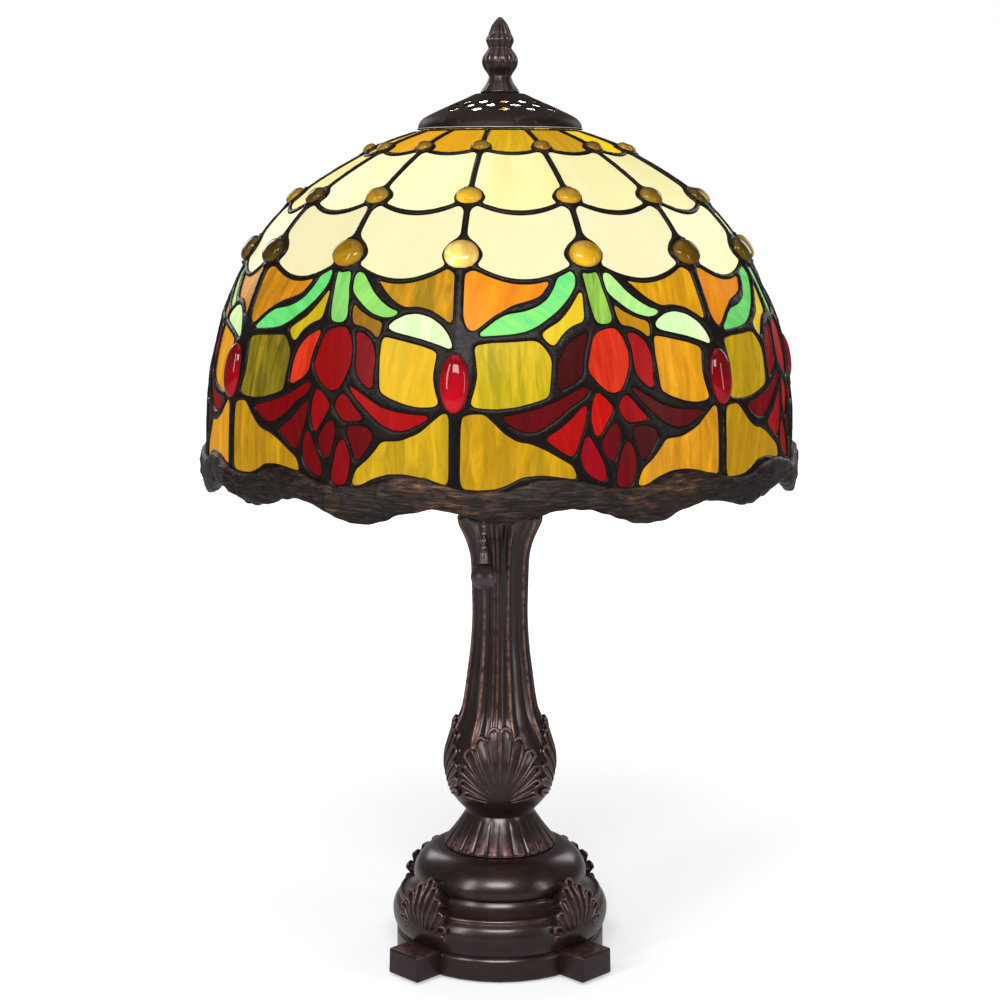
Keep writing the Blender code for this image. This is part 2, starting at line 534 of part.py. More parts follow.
def jewels(name, count, first, s, w, h, mat):
    """Cabochons in a row, on the foil wire they are strung along."""
    base_off = CAME_GAP + CAME_T + 0.4
    bm = bmesh.new()
    for k in range(count):
        th = first + TAU * k / count
        c = Vector(on_shade(th, s, base_off))
        n = (Vector(on_shade(th, s, base_off + 1.0)) - c).normalized()
        across = Vector((math.cos(th), math.sin(th), 0))
        down = n.cross(across).normalized()
        rings = []
        for f, hgt in ((1.0, 0.0), (0.86, 1.9)):
            rings.append([bm.verts.new(c + (across * w / 2 * f * math.cos(TAU * i / 10)
                                            + down * h / 2 * f * math.sin(TAU * i / 10)) * MM + n * hgt * MM)
                          for i in range(10)])
        top = bm.verts.new(c + n * 3.0 * MM)
        bm.faces.new(rings[0])
        for a, b in zip(rings, rings[1:]):
            for i in range(10):
                j = (i + 1) % 10
                bm.faces.new([a[i], a[j], b[j], b[i]])
        for i in range(10):
            bm.faces.new([rings[-1][i], rings[-1][(i + 1) % 10], top])
    o = place(name, bm, mat)
    wire = bmesh.new()
    loops = []
    m = SEG
    for k in range(m):
        th = first + TAU * k / m
        c = Vector(on_shade(th, s, base_off + 0.75))
        n = (Vector(on_shade(th, s, base_off + 1.75)) - c).normalized()
        up = n.cross(Vector((math.cos(th), math.sin(th), 0))).normalized()
        loops.append([wire.verts.new(c + (n * a + up * b) * 0.45 * MM) for a, b in ((1, 0), (-0.7, 0.7), (-0.7, -0.7))])
    for k in range(m):
        a, b = loops[k], loops[(k + 1) % m]
        for i in range(3):
            wire.faces.new([a[i], a[(i + 1) % 3], b[(i + 1) % 3], b[i]])
    boolean(o, place(name + "_wire", wire, mat), "UNION")
    return o


for row, size in enumerate((8.4, 11.4, 14.4)):
    jewels("amber_jewels_row_%d" % (row + 1), COLUMNS, TULIP_AT, S_ROW[row], size, size * 0.92, AMBER)
S_RUBY = 168.0
jewels("ruby_jewels", COLUMNS // 2, TULIP_AT + STEP, S_RUBY, 13.0, 26.0, RUBY)

turned("shade_top_ring", [(35.0, 427.2), (39.2, 427.2), (39.2, 430.5), (35.0, 430.5)], 28, BRASS)
spider = turned("shade_spider", [(3.5, 430.9), (9.0, 430.9), (9.0, 432.3), (3.5, 432.3)], 24, BRASS)
bm = bmesh.new()
for k in range(3):
    vs = box(bm, (6.5, -3.5, 430.9), (38.0, 3.5, 432.3))
    bmesh.ops.rotate(bm, verts=vs, cent=(0, 0, 0), matrix=Matrix.Rotation(TAU * k / 3 + math.radians(90), 3, "Z"))
arms = place("spider_arms", bm, BRASS)
boolean(spider, arms, "UNION")

# ================= cord and plug =================
grommet = [(0, 47.0, GROMMET_Z), (0, 57.0, GROMMET_Z), (0, 57.2, GROMMET_Z), (0, 59.6, GROMMET_Z)]
sweep("cord_grommet", grommet, [3.55, 3.55, 5.2, 4.6], 16, PHENOLIC, bore=2.75)

cord = [(0, 0, 250.0 + RISE), (0, 0, 140.0), (0, 0, 48.0), (0, 0.6, 38.0), (0, 4.0, 25.0), (0, 11.0, 14.0),
        (0, 22.0, 8.8), (0, 34.0, GROMMET_Z), (0, 48.0, GROMMET_Z), (0, 61.0, GROMMET_Z)]


def bend(cx, cy, r, a0, a1, z0, z1, n):
    return [(cx + r * math.cos(a0 + (a1 - a0) * k / n), cy + r * math.sin(a0 + (a1 - a0) * k / n),
             z0 + (z1 - z0) * k / n) for k in range(n + 1)]


FLOOR_Z = CORD_R + 0.4
cord += bend(-10.0, 67.0, 10.0, math.radians(0), math.radians(90), 6.6, FLOOR_Z, 4)
cord += [(-28.0, 77.0, FLOOR_Z)]
cord += bend(-28.0, 85.0, 8.0, math.radians(-110), math.radians(-270), FLOOR_Z, FLOOR_Z, 6)
cord += [(0.0, 93.0, FLOOR_Z), (26.0, 93.0, FLOOR_Z)]
cord += bend(28.0, 101.0, 8.0, math.radians(-75), math.radians(90), FLOOR_Z, FLOOR_Z, 6)
cord += [(0.0, 109.0, FLOOR_Z), (-20.0, 109.0, FLOOR_Z)]
cord += bend(-22.0, 117.5, 8.5, math.radians(-105), math.radians(-270), FLOOR_Z, 4.6, 6)
cord += [(-14.0, 126.0, 6.4), (-8.0, 126.0, 7.2)]
sweep("power_cord", cord, CORD_R, 6, CORD)

PLUG_X = -7.6
bm = bmesh.new()
rings = []
for x, hy, hz in ((0, 3.4, 3.4), (4, 4.4, 4.2), (7, 8.2, 5.8), (11, 10.2, 6.8), (24, 10.8, 6.8), (25.5, 10.0, 6.0)):
    ring = []
    for k in range(16):
        a = TAU * (k + 0.5) / 16
        c, s = math.cos(a), math.sin(a)
        f = (abs(c) ** 3 + abs(s) ** 3) ** (-1 / 3)
        ring.append(bm.verts.new(((PLUG_X + x) * MM, (126.0 + hy * f * c) * MM, (7.2 + hz * f * s) * MM)))
    rings.append(ring)
for a, b in zip(rings, rings[1:]):
    for i in range(16):
        bm.faces.new([a[i], a[(i + 1) % 16], b[(i + 1) % 16], b[i]])
bm.faces.new(rings[0][::-1])
bm.faces.new(rings[-1])
place("plug_body", bm, CORD)
for s, word in ((-1, "hot"), (1, "neutral")):
    bm = bmesh.new()
    w = 3.1 if s < 0 else 3.9
    box(bm, (PLUG_X + 25.9, 126.0 + s * 6.35 - 0.75, 7.2 - w), (PLUG_X + 41.9, 126.0 + s * 6.35 + 0.75, 7.2 + w))
    place("plug_blade_" + word, bm, BRASS)
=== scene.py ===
import math

import bmesh
import bpy
import numpy as np
from mathutils import Matrix, Vector, kdtree, noise
from mathutils.geometry import delaunay_2d_cdt


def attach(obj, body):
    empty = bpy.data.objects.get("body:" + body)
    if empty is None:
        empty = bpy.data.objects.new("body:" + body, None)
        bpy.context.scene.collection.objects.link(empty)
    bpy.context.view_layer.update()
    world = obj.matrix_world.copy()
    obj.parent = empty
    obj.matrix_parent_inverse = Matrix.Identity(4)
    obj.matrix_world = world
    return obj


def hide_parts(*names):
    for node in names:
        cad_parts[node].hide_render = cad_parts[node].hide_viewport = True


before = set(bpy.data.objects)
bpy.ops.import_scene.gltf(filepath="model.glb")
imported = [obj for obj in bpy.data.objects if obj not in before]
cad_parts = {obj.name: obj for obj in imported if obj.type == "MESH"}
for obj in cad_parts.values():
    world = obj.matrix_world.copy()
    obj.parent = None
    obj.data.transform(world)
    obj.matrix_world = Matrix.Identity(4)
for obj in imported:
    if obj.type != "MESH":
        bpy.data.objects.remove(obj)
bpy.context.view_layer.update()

MM = 0.001
TAU = 2 * math.pi
STEP = TAU / 14            # one column of panels
TULIP_AT = math.radians(17.8)
MODULES = 7
PLANE = 68.1               # mm of drawing plane to one column, the true width at the tulips

SHADE = [(41.0, 429.6), (66.5, 419.6), (104.5, 396.0), (127.5, 370.0), (139.5, 346.0),
         (147.3, 321.0), (151.0, 298.0), (152.3, 272.0), (152.0, 248.0)]
ARC = [0.0]
for (_r0, _z0), (_r1, _z1) in zip(SHADE, SHADE[1:]):
    ARC.append(ARC[-1] + math.hypot(_r1 - _r0, _z1 - _z0))
S_ROW = (ARC[1], ARC[2], ARC[3])
S_END = ARC[-1]
ROW_SAG = (6.0, 10.5, 14.0)
JEWEL_R = (4.3, 6.1, 7.9)
S_RUBY = 168.0
RUBY_W, RUBY_H = 6.6, 13.4
GLASS = 2.6
RISE = 8.4                 # the base lifts all it carries this far above the heights in the tables below
ON_THE_FLOOR = {"cast_base", "supply_cord", "moulded_plug"}


# ------------------------------------------------------------------ small helpers
def smoothstep(a, b, x):
    t = np.clip((x - a) / (b - a), 0.0, 1.0)
    return t * t * (3 - 2 * t)


def catmull(points, per=8, closed=False):
    """Dense points through the control points. A point given twice is a hard corner."""
    p = [np.array(q, float) for q in points]
    n = len(p)
    out = []
    last = n if closed else n - 1
    for i in range(last):
        p1, p2 = p[i % n], p[(i + 1) % n]
        if np.allclose(p1, p2):
            continue
        p0 = p[(i - 1) % n] if closed or i > 0 else p1 * 2 - p2
        p3 = p[(i + 2) % n] if closed or i + 2 < n else p2 * 2 - p1
        m1 = (p2 - p0) * 0.5
        m2 = (p3 - p1) * 0.5
        if np.allclose(p0, p1):
            m1 = (p2 - p1) * 0.7
        if np.allclose(p2, p3):
            m2 = (p2 - p1) * 0.7
        chord = np.linalg.norm(p2 - p1)
        for m in (m1, m2):
            size = np.linalg.norm(m)
            if size > 1.6 * chord:
                m *= 1.6 * chord / size
        k = max(1, per)
        for j in range(k):
            t = j / k
            out.append((2 * t**3 - 3 * t**2 + 1) * p1 + (t**3 - 2 * t**2 + t) * m1
                       + (-2 * t**3 + 3 * t**2) * p2 + (t**3 - t**2) * m2)
    if not closed:
        out.append(p[-1])
    return np.array(out)


def fbm(x, y, z, octaves=4):
    return noise.fractal(Vector((x, y, z)), 0.6, 2.1, octaves)


def new_mesh(name, verts, faces, mat, body, replaces=(), smooth=True, sharp=None):
    me = bpy.data.meshes.new(name)
    lift = 0.0 if name in ON_THE_FLOOR else RISE
    me.from_pydata([(float(v[0]) * MM, float(v[1]) * MM, (float(v[2]) + lift) * MM) for v in verts], [], faces)
    me.update()
    return new_object(name, me, mat, body, replaces, smooth, sharp)


def new_object(name, me, mat, body, replaces=(), smooth=True, sharp=None):
    mats = mat if isinstance(mat, (list, tuple)) else [mat]
    for m in mats:
        me.materials.append(m)
    if smooth:
        me.shade_smooth()
        if sharp:
            me.set_sharp_from_angle(angle=math.radians(sharp))
    o = bpy.data.objects.new(name, me)
    bpy.context.scene.collection.objects.link(o)
    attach(o, body)
    if replaces:
        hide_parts(*replaces)
    return o


def recalc(o):
    bm = bmesh.new()
    bm.from_mesh(o.data)
    bmesh.ops.recalc_face_normals(bm, faces=bm.faces)
    bm.to_mesh(o.data)
    bm.free()
    return o


def float_attribute(o, name, values):
    a = o.data.attributes.new(name, "FLOAT", "POINT")
    a.data.foreach_set("value", np.asarray(values, np.float32))


def vector_attribute(o, name, values):
    a = o.data.attributes.new(name, "FLOAT_VECTOR", "POINT")
    a.data.foreach_set("vector", np.asarray(values, np.float32).ravel())


def color_attribute(o, name, values):
    a = o.data.color_attributes.new(name, "FLOAT_COLOR", "POINT")
    v = np.ones((len(values), 4), np.float32)
    v[:, :3] = values
    a.data.foreach_set("color", v.ravel())


def lathe(profile, segs, shape=None, at=(0.0, 0.0)):
    """Verts and faces of an (r, z) loop turned round Z. shape(phi, i, r, z) may return new (r, z) arrays.
    phi runs from the front (-Y) towards +X. A loop whose ends are on the axis is closed there."""
    prof = np.asarray(profile, float)
    n = len(prof)
    phi = np.linspace(0, TAU, segs, endpoint=False)
    R = np.repeat(prof[:, 0:1], segs, 1)
    Z = np.repeat(prof[:, 1:2], segs, 1)
    if shape is not None:
        R, Z = shape(np.repeat(phi[None, :], n, 0), R, Z)
    X = R * np.sin(phi)[None, :] + at[0]
    Y = -R * np.cos(phi)[None, :] + at[1]
    verts = []
    index = np.zeros((n, segs), int)
    for i in range(n):
        if prof[i, 0] < 1e-9:
            index[i, :] = len(verts)
            verts.append((at[0], at[1], Z[i, 0]))
        else:
            index[i, :] = np.arange(segs) + len(verts)
            verts.extend(zip(X[i], Y[i], Z[i]))
    open_ends = prof[0, 0] < 1e-9 and prof[-1, 0] < 1e-9
    faces = []
    for i in range(n - 1 if open_ends else n):
        a, b = index[i], index[(i + 1) % n]
        for k in range(segs):
            j = (k + 1) % segs
            q = [int(a[k]), int(b[k]), int(b[j]), int(a[j])]
            q = [v for m, v in enumerate(q) if v not in q[:m]]
            if len(q) > 2:
                faces.append(tuple(q))
    return verts, faces, (R, Z, index)


def tube(path, radius, sides=16, caps=True, squash=None):
    """Verts and faces of a round bar along points in mm; radius may be one value to each point."""
    pts = [Vector(p) for p in path]
    n = len(pts)
    rad = list(radius) if isinstance(radius, (list, tuple, np.ndarray)) else [radius] * n
    tang = [(pts[min(i + 1, n - 1)] - pts[max(i - 1, 0)]).normalized() for i in range(n)]
    ref = Vector((0, 0, 1)) if abs(tang[0].z) < 0.9 else Vector((1, 0, 0))
    side = (ref - tang[0] * ref.dot(tang[0])).normalized()
    verts, faces = [], []
    for i, t in enumerate(tang):
        side = (side - t * side.dot(t)).normalized()
        up = t.cross(side)
        for k in range(sides):
            a = TAU * k / sides
            f = squash(a) if squash else 1.0
            verts.append(tuple(pts[i] + (side * math.cos(a) + up * math.sin(a)) * rad[i] * f))
    for i in range(n - 1):
        for k in range(sides):
            j = (k + 1) % sides
            faces.append((i * sides + k, i * sides + j, (i + 1) * sides + j, (i + 1) * sides + k))
    if caps:
        faces.append(tuple(range(sides))[::-1])
        faces.append(tuple((n - 1) * sides + k for k in range(sides)))
    return verts, faces


def merge(parts):
    verts, faces = [], []
    for v, f in parts:
        base = len(verts)
        verts.extend(v)
        faces.extend(tuple(i + base for i in q) for q in f)
    return verts, faces


# ------------------------------------------------------------------ materials
def nodes_of(name):
    m = bpy.data.materials.new(name)
    m.use_nodes = True
    nt = m.node_tree
    return m, nt, nt.nodes["Principled BSDF"]


def link(nt, a, b):
    nt.links.new(a, b)


def coords(nt, scale=(1.0, 1.0, 1.0)):
    tc = nt.nodes.new("ShaderNodeTexCoord")
    mp = nt.nodes.new("ShaderNodeMapping")
    mp.inputs["Scale"].default_value = scale
    link(nt, tc.outputs["Object"], mp.inputs["Vector"])
    return mp.outputs["Vector"]


def noise_node(nt, vector, scale, detail=4.0, rough=0.55, distortion=0.0):
    n = nt.nodes.new("ShaderNodeTexNoise")
    n.inputs["Scale"].default_value = scale
    n.inputs["Detail"].default_value = detail
    n.inputs["Roughness"].default_value = rough
    n.inputs["Distortion"].default_value = distortion
    if vector is not None:
        link(nt, vector, n.inputs["Vector"])
    return n.outputs["Fac"]


def ramp(nt, fac, stops):
    r = nt.nodes.new("ShaderNodeValToRGB")
    e = r.color_ramp.elements
    while len(e) < len(stops):
        e.new(0.5)
    for el, (p, c) in zip(e, stops):
        el.position = p
        el.color = (*c, 1.0) if len(c) == 3 else c
    link(nt, fac, r.inputs["Fac"])
    return r.outputs["Color"]


def math_node(nt, op, a, b=None, clamp=False):
    n = nt.nodes.new("ShaderNodeMath")
    n.operation = op
    n.use_clamp = clamp
    for i, v in enumerate((a, b)):
        if v is None:
            continue
        if isinstance(v, (int, float)):
            n.inputs[i].default_value = v
        else:
            link(nt, v, n.inputs[i])
    return n.outputs[0]


def mix_color(nt, fac, a, b, blend="MIX"):
    n = nt.nodes.new("ShaderNodeMix")
    n.data_type = "RGBA"
    n.blend_type = blend
    ins = [s for s in n.inputs if s.enabled or True]
    f, ca, cb = n.inputs[0], n.inputs[6], n.inputs[7]
    for s, v in ((f, fac), (ca, a), (cb, b)):
        if isinstance(v, (int, float)):
            s.default_value = v
        elif isinstance(v, tuple):
            s.default_value = (*v, 1.0) if len(v) == 3 else v
        else:
            link(nt, v, s)
    return n.outputs[2]


def bump(nt, bsdf, height, strength=0.2, distance=0.001):
    b = nt.nodes.new("ShaderNodeBump")
    b.inputs["Strength"].default_value = strength
    b.inputs["Distance"].default_value = distance
    link(nt, height, b.inputs["Height"])
    link(nt, b.outputs["Normal"], bsdf.inputs["Normal"])


def attribute(nt, name, kind="Color"):
    a = nt.nodes.new("ShaderNodeAttribute")
    a.attribute_name = name
    return a.outputs[kind]


def bronze_material(name, dark=(0.0135, 0.0070, 0.0064), rub=(0.40, 0.185, 0.14), use_attr=True, rough=0.32,
                    amount=1.0, coat=0.46):
    m, nt, b = nodes_of(name)
    v = coords(nt)
    mottle = noise_node(nt, v, 130.0, 5, 0.6)
    base = mix_color(nt, mottle, dark, tuple(c * 2.2 for c in dark))
    patches = noise_node(nt, v, 260.0, 4, 0.7)
    worn = ramp(nt, patches, [(0.36, (0, 0, 0)), (0.60, (1, 1, 1))])
    if use_attr:
        amt = math_node(nt, "MULTIPLY", attribute(nt, "rub", "Fac"), worn, True)
        amt = math_node(nt, "MULTIPLY", amt, 0.80 * amount, True)
        col = mix_color(nt, amt, base, rub)
    else:
        few = ramp(nt, patches, [(0.60, (0, 0, 0)), (0.80, (1, 1, 1))])
        col = mix_color(nt, math_node(nt, "MULTIPLY", few, 0.30 * amount), base, rub)
    link(nt, col, b.inputs["Base Color"])
    b.inputs["Metallic"].default_value = 0.45
    b.inputs["Specular IOR Level"].default_value = 0.34
    b.inputs["Specular Tint"].default_value = (1.0, 0.84, 0.82, 1.0)
    rr = math_node(nt, "MULTIPLY_ADD", mottle, 0.20)
    rr.node.inputs[2].default_value = rough - 0.1
    link(nt, rr, b.inputs["Roughness"])
    b.inputs["Coat Weight"].default_value = coat
    b.inputs["Coat Roughness"].default_value = 0.21
    bump(nt, b, noise_node(nt, v, 700.0, 4, 0.6), 0.12, 0.0004)
    return m


def metal_material(name, colour, rough=0.28, metallic=1.0, streak=(1, 1, 1)):
    m, nt, b = nodes_of(name)
    v = coords(nt, streak)
    n = noise_node(nt, v, 420.0, 4, 0.6)
    col = mix_color(nt, n, tuple(c * 0.78 for c in colour), tuple(min(1.0, c * 1.12) for c in colour))
    link(nt, col, b.inputs["Base Color"])
    b.inputs["Metallic"].default_value = metallic
    rr = math_node(nt, "MULTIPLY_ADD", n, 0.2)
    rr.node.inputs[2].default_value = rough - 0.1
    link(nt, rr, b.inputs["Roughness"])
    bump(nt, b, n, 0.08, 0.0003)
    return m


def solder_material():
    m, nt, b = nodes_of("patinated_solder")
    v = coords(nt)
    big = noise_node(nt, v, 90.0, 4, 0.6)
    fine = noise_node(nt, v, 480.0, 4, 0.65)
    col = ramp(nt, big, [(0.30, (0.0040, 0.0026, 0.0022)), (0.62, (0.0095, 0.0060, 0.0045)),
                         (0.88, (0.030, 0.016, 0.010))])
    link(nt, col, b.inputs["Base Color"])
    b.inputs["Metallic"].default_value = 0.2
    b.inputs["Specular IOR Level"].default_value = 0.13
    rr = math_node(nt, "MULTIPLY_ADD", fine, 0.25)
    rr.node.inputs[2].default_value = 0.24
    link(nt, rr, b.inputs["Roughness"])
    h = math_node(nt, "ADD", math_node(nt, "MULTIPLY", big, 1.3), fine)
    bump(nt, b, h, 0.35, 0.0006)
    return m


def bark_material():
    m, nt, b = nodes_of("bark_bronze")
    g = attribute(nt, "grain", "Vector")
    long_noise = noise_node(nt, g, 1.0, 6, 0.62, 0.3)
    v = coords(nt)
    patch = noise_node(nt, v, 30.0, 3, 0.5)
    base = ramp(nt, long_noise, [(0.36, (0.0036, 0.0024, 0.0020)), (0.52, (0.014, 0.0080, 0.0058)),
                                 (0.70, (0.060, 0.030, 0.018))])
    gold = ramp(nt, long_noise, [(0.38, (0.0060, 0.0036, 0.0026)), (0.52, (0.085, 0.036, 0.014)),
                                 (0.72, (0.36, 0.165, 0.055))])
    where = ramp(nt, patch, [(0.50, (0, 0, 0)), (0.68, (1, 1, 1))])
    up = math_node(nt, "MULTIPLY", where, attribute(nt, "rub", "Fac"), True)
    link(nt, mix_color(nt, up, base, gold), b.inputs["Base Color"])
    b.inputs["Metallic"].default_value = 0.35
    b.inputs["Specular IOR Level"].default_value = 0.32
    rr = math_node(nt, "MULTIPLY_ADD", long_noise, 0.3)
    rr.node.inputs[2].default_value = 0.26
    link(nt, rr, b.inputs["Roughness"])
    bump(nt, b, long_noise, 0.6, 0.0014)
    return m


def glass_material(name, glow=0.82, rough=0.34, streak=0.5, cloud=0.35, wavy=0.16, body=0.16):
    """Lit opalescent glass: each tile's colour with a painted pool of bulb light, streaked along the tile's own grain,
    glowing from inside.
    """
    m, nt, b = nodes_of(name)
    tint_with_painted_light = attribute(nt, "tint_with_painted_light")
    grain = attribute(nt, "grain", "Vector")
    streaks = noise_node(nt, grain, 1.0, 5, 0.62, 0.7)
    clouds_v = nt.nodes.new("ShaderNodeMapping")
    clouds_v.inputs["Scale"].default_value = (1.4, 0.35, 1.0)
    link(nt, grain, clouds_v.inputs["Vector"])
    clouds = noise_node(nt, clouds_v.outputs["Vector"], 0.55, 3, 0.5, 0.2)
    tone = attribute(nt, "tint2_with_painted_light")
    f1 = ramp(nt, streaks, [(0.36, (0, 0, 0)), (0.64, (1, 1, 1))])
    f2 = ramp(nt, clouds, [(0.34, (0, 0, 0)), (0.66, (1, 1, 1))])
    mixed = mix_color(nt, math_node(nt, "MULTIPLY", f1, streak), tint_with_painted_light, tone)
    mixed = mix_color(nt, math_node(nt, "MULTIPLY", f2, cloud), mixed, tone)
    link(nt, mix_color(nt, body, (0.0, 0.0, 0.0), mixed), b.inputs["Base Color"])
    b.inputs["Roughness"].default_value = rough
    b.inputs["Specular IOR Level"].default_value = 0.05
    link(nt, mixed, b.inputs["Emission Color"])
    path = nt.nodes.new("ShaderNodeLightPath")
    shine = nt.nodes.new("ShaderNodeMapRange")
    shine.inputs["To Min"].default_value = glow * 0.35
    shine.inputs["To Max"].default_value = glow
    link(nt, path.outputs["Is Camera Ray"], shine.inputs["Value"])
    link(nt, shine.outputs["Result"], b.inputs["Emission Strength"])
    bump(nt, b, math_node(nt, "ADD", math_node(nt, "MULTIPLY", streaks, 0.7), clouds), wavy, 0.0007)
    return m


def jewel_material(name, deep, bright, spark, glow=0.9, scale=260.0, bumpy=0.5, rim=1.0, blend=0.42):
    """A domed glass jewel: bright where it is looked into straight, dark round its edge."""
    m, nt, b = nodes_of(name)
    v = coords(nt)
    n = noise_node(nt, v, scale, 4, 0.6, 0.8)
    lw = nt.nodes.new("ShaderNodeLayerWeight")
    lw.inputs["Blend"].default_value = blend
    col = ramp(nt, n, [(0.34, tuple(0.45 * a + 0.55 * c for a, c in zip(deep, bright))), (0.50, bright),
                       (0.76, tuple(0.5 * a + 0.5 * c for a, c in zip(bright, spark)))])
    edge = math_node(nt, "POWER", lw.outputs["Facing"], 0.9)
    col = mix_color(nt, math_node(nt, "MULTIPLY", edge, rim, True), col, tuple(c * 0.22 for c in deep))
    col = mix_color(nt, 1.0, col, attribute(nt, "tint_with_painted_light"), "MULTIPLY")
    link(nt, mix_color(nt, 0.12, (0.0, 0.0, 0.0), col), b.inputs["Base Color"])
    link(nt, col, b.inputs["Emission Color"])
    b.inputs["Emission Strength"].default_value = glow
    b.inputs["Roughness"].default_value = 0.06
    b.inputs["Coat Weight"].default_value = 0.22
    b.inputs["Coat Roughness"].default_value = 0.02
    b.inputs["Specular IOR Level"].default_value = 0.12
    bump(nt, b, n, bumpy, 0.0008)
    return m


def plain_material(name, colour, rough=0.5, grain=600.0, variation=0.2, bumpiness=0.15, metallic=0.0,
                   stretch=(1, 1, 1)):
    m, nt, b = nodes_of(name)
    v = coords(nt, stretch)
    n = noise_node(nt, v, grain, 4, 0.6)
    link(nt, mix_color(nt, n, tuple(c * (1 - variation) for c in colour),
                       tuple(min(1.0, c * (1 + variation)) for c in colour)), b.inputs["Base Color"])
    b.inputs["Roughness"].default_value = rough
    b.inputs["Metallic"].default_value = metallic
    bump(nt, b, n, bumpiness, 0.0004)
    return m


BRONZE = bronze_material("antique_bronze")
BRONZE_PLAIN = bronze_material("antique_bronze_plain", dark=(0.0060, 0.0038, 0.0028), use_attr=False, rough=0.50,
                               coat=0.0)
# The ball, beads and connector get paler bronze than the casting: partly their own lighter finish, partly painted
# light making up for the shade the shade's rim throws on them.
CHAIN_BRONZE_WITH_PAINTED_LIGHT = bronze_material("chain_bronze_with_painted_light", dark=(0.062, 0.047, 0.052), use_attr=False, rough=0.40, amount=0.1,
                               coat=0.1)
BEAD_BRONZE_WITH_PAINTED_LIGHT = bronze_material("bead_bronze_with_painted_light", dark=(0.20, 0.165, 0.16), use_attr=False, rough=0.22, amount=0.1)
BRASS = metal_material("brass_satin", (0.50, 0.34, 0.13), 0.32)
BRASS_RAW = plain_material("spun_brass_inside", (0.80, 0.76, 0.66), 0.6, 300.0, 0.1, 0.1)
STEEL = metal_material("zinc_steel", (0.52, 0.53, 0.55), 0.34)
ALU = metal_material("bright_aluminium", (0.78, 0.78, 0.80), 0.25)
SOLDER = solder_material()
BARK = bark_material()
OPAL = glass_material("opal_cream_glass", glow=0.88, streak=0.30, cloud=0.55, wavy=0.08)
CATHEDRAL = glass_material("streaky_amber_glass", glow=0.92, streak=0.80, cloud=0.60)
LEAF_GLASS = glass_material("streaky_green_glass", glow=0.90, streak=0.85, cloud=0.5)
PETAL_GLASS = glass_material("streaky_red_glass", glow=0.92, streak=0.60, cloud=0.5)
AMBER_JEWEL = jewel_material("amber_jewel_glass", (0.30, 0.10, 0.003), (0.86, 0.42, 0.010), (1.0, 0.80, 0.10), 1.0,
                             95.0, 0.12)
RUBY_JEWEL = jewel_material("ruby_jewel_glass", (0.26, 0.002, 0.006), (0.44, 0.003, 0.012), (0.58, 0.006, 0.024), 0.95,
                            70.0, 0.04, 0.95, 0.34)
FELT = plain_material("green_felt", (0.016, 0.035, 0.022), 0.95, 1500.0, 0.45, 0.6)
PHENOLIC = plain_material("black_phenolic", (0.016, 0.015, 0.014), 0.35, 900.0, 0.3, 0.1)
PAPER = plain_material("fibre_paper", (0.33, 0.20, 0.10), 0.85, 700.0, 0.25, 0.3)
CORD = plain_material("brown_cord_vinyl", (0.026, 0.014, 0.010), 0.42, 500.0, 0.2, 0.12)


def frosted_bulb():
    m, nt, b = nodes_of("frosted_bulb_glass")
    v = coords(nt)
    n = noise_node(nt, v, 900.0, 3, 0.5)
    geo = nt.nodes.new("ShaderNodeSeparateXYZ")
    tc = nt.nodes.new("ShaderNodeTexCoord")
    link(nt, tc.outputs["Object"], geo.inputs["Vector"])
    hot = nt.nodes.new("ShaderNodeMapRange")
    hot.inputs["From Min"].default_value = 0.292 + RISE * MM
    hot.inputs["From Max"].default_value = 0.345 + RISE * MM
    hot.inputs["To Min"].default_value = 0.08
    hot.inputs["To Max"].default_value = 0.66
    link(nt, geo.outputs["Z"], hot.inputs["Value"])
    col = mix_color(nt, n, (0.98, 0.70, 0.36), (1.0, 0.76, 0.44))
    link(nt, mix_color(nt, n, (0.085, 0.070, 0.050), (0.10, 0.084, 0.062)), b.inputs["Base Color"])
    link(nt, col, b.inputs["Emission Color"])
    link(nt, hot.outputs["Result"], b.inputs["Emission Strength"])
    b.inputs["Roughness"].default_value = 0.35
    return m


BULB = frosted_bulb()


# ------------------------------------------------------------------ the dome
_dense = catmull([(r, z) for r, z in SHADE], 24)
_seg = np.r_[0, np.cumsum(np.hypot(*np.diff(_dense, axis=0).T))]
_knots = np.interp(np.arange(len(SHADE)), np.arange(len(_dense)) / 24, _seg)


def profile_at(s):
    """(r, z) of the glass's outer face at the CAD's arc length s, and its outward normal, as arrays."""
    s = np.asarray(s, float)
    slope_top, slope_end = 1.0, 1.0
    t = np.interp(s, ARC, _knots)
    t = t + np.where(s > ARC[-1], (s - ARC[-1]), 0) + np.where(s < 0, s, 0)
    tc = np.clip(t, 0, _seg[-1])
    r = np.interp(tc, _seg, _dense[:, 0])
    z = np.interp(tc, _seg, _dense[:, 1])
    e = 1.5
    ra, rb = np.interp(np.clip(tc - e, 0, None), _seg, _dense[:, 0]), np.interp(np.clip(tc + e, None, _seg[-1]), _seg, _dense[:, 0])
    za, zb = np.interp(np.clip(tc - e, 0, None), _seg, _dense[:, 1]), np.interp(np.clip(tc + e, None, _seg[-1]), _seg, _dense[:, 1])
    d = np.hypot(rb - ra, zb - za)
    tr, tz = (rb - ra) / d, (zb - za) / d
    over = t - tc
    return r + tr * over, z + tz * over, -tz, tr


def facet(u, s):
    """The flat panels draw the round dome in towards a fourteen-sided one, most of all in the upper rows."""
    k = np.where(s < 112, 1.0, 1.0 - 0.80 * smoothstep(112, 150, s))
    k = k * smoothstep(-2, 22, s)
    phi = (np.mod(u, 1.0) - 0.5) * STEP
    return 1 - k * (1 - math.cos(STEP / 2) / np.cos(phi))


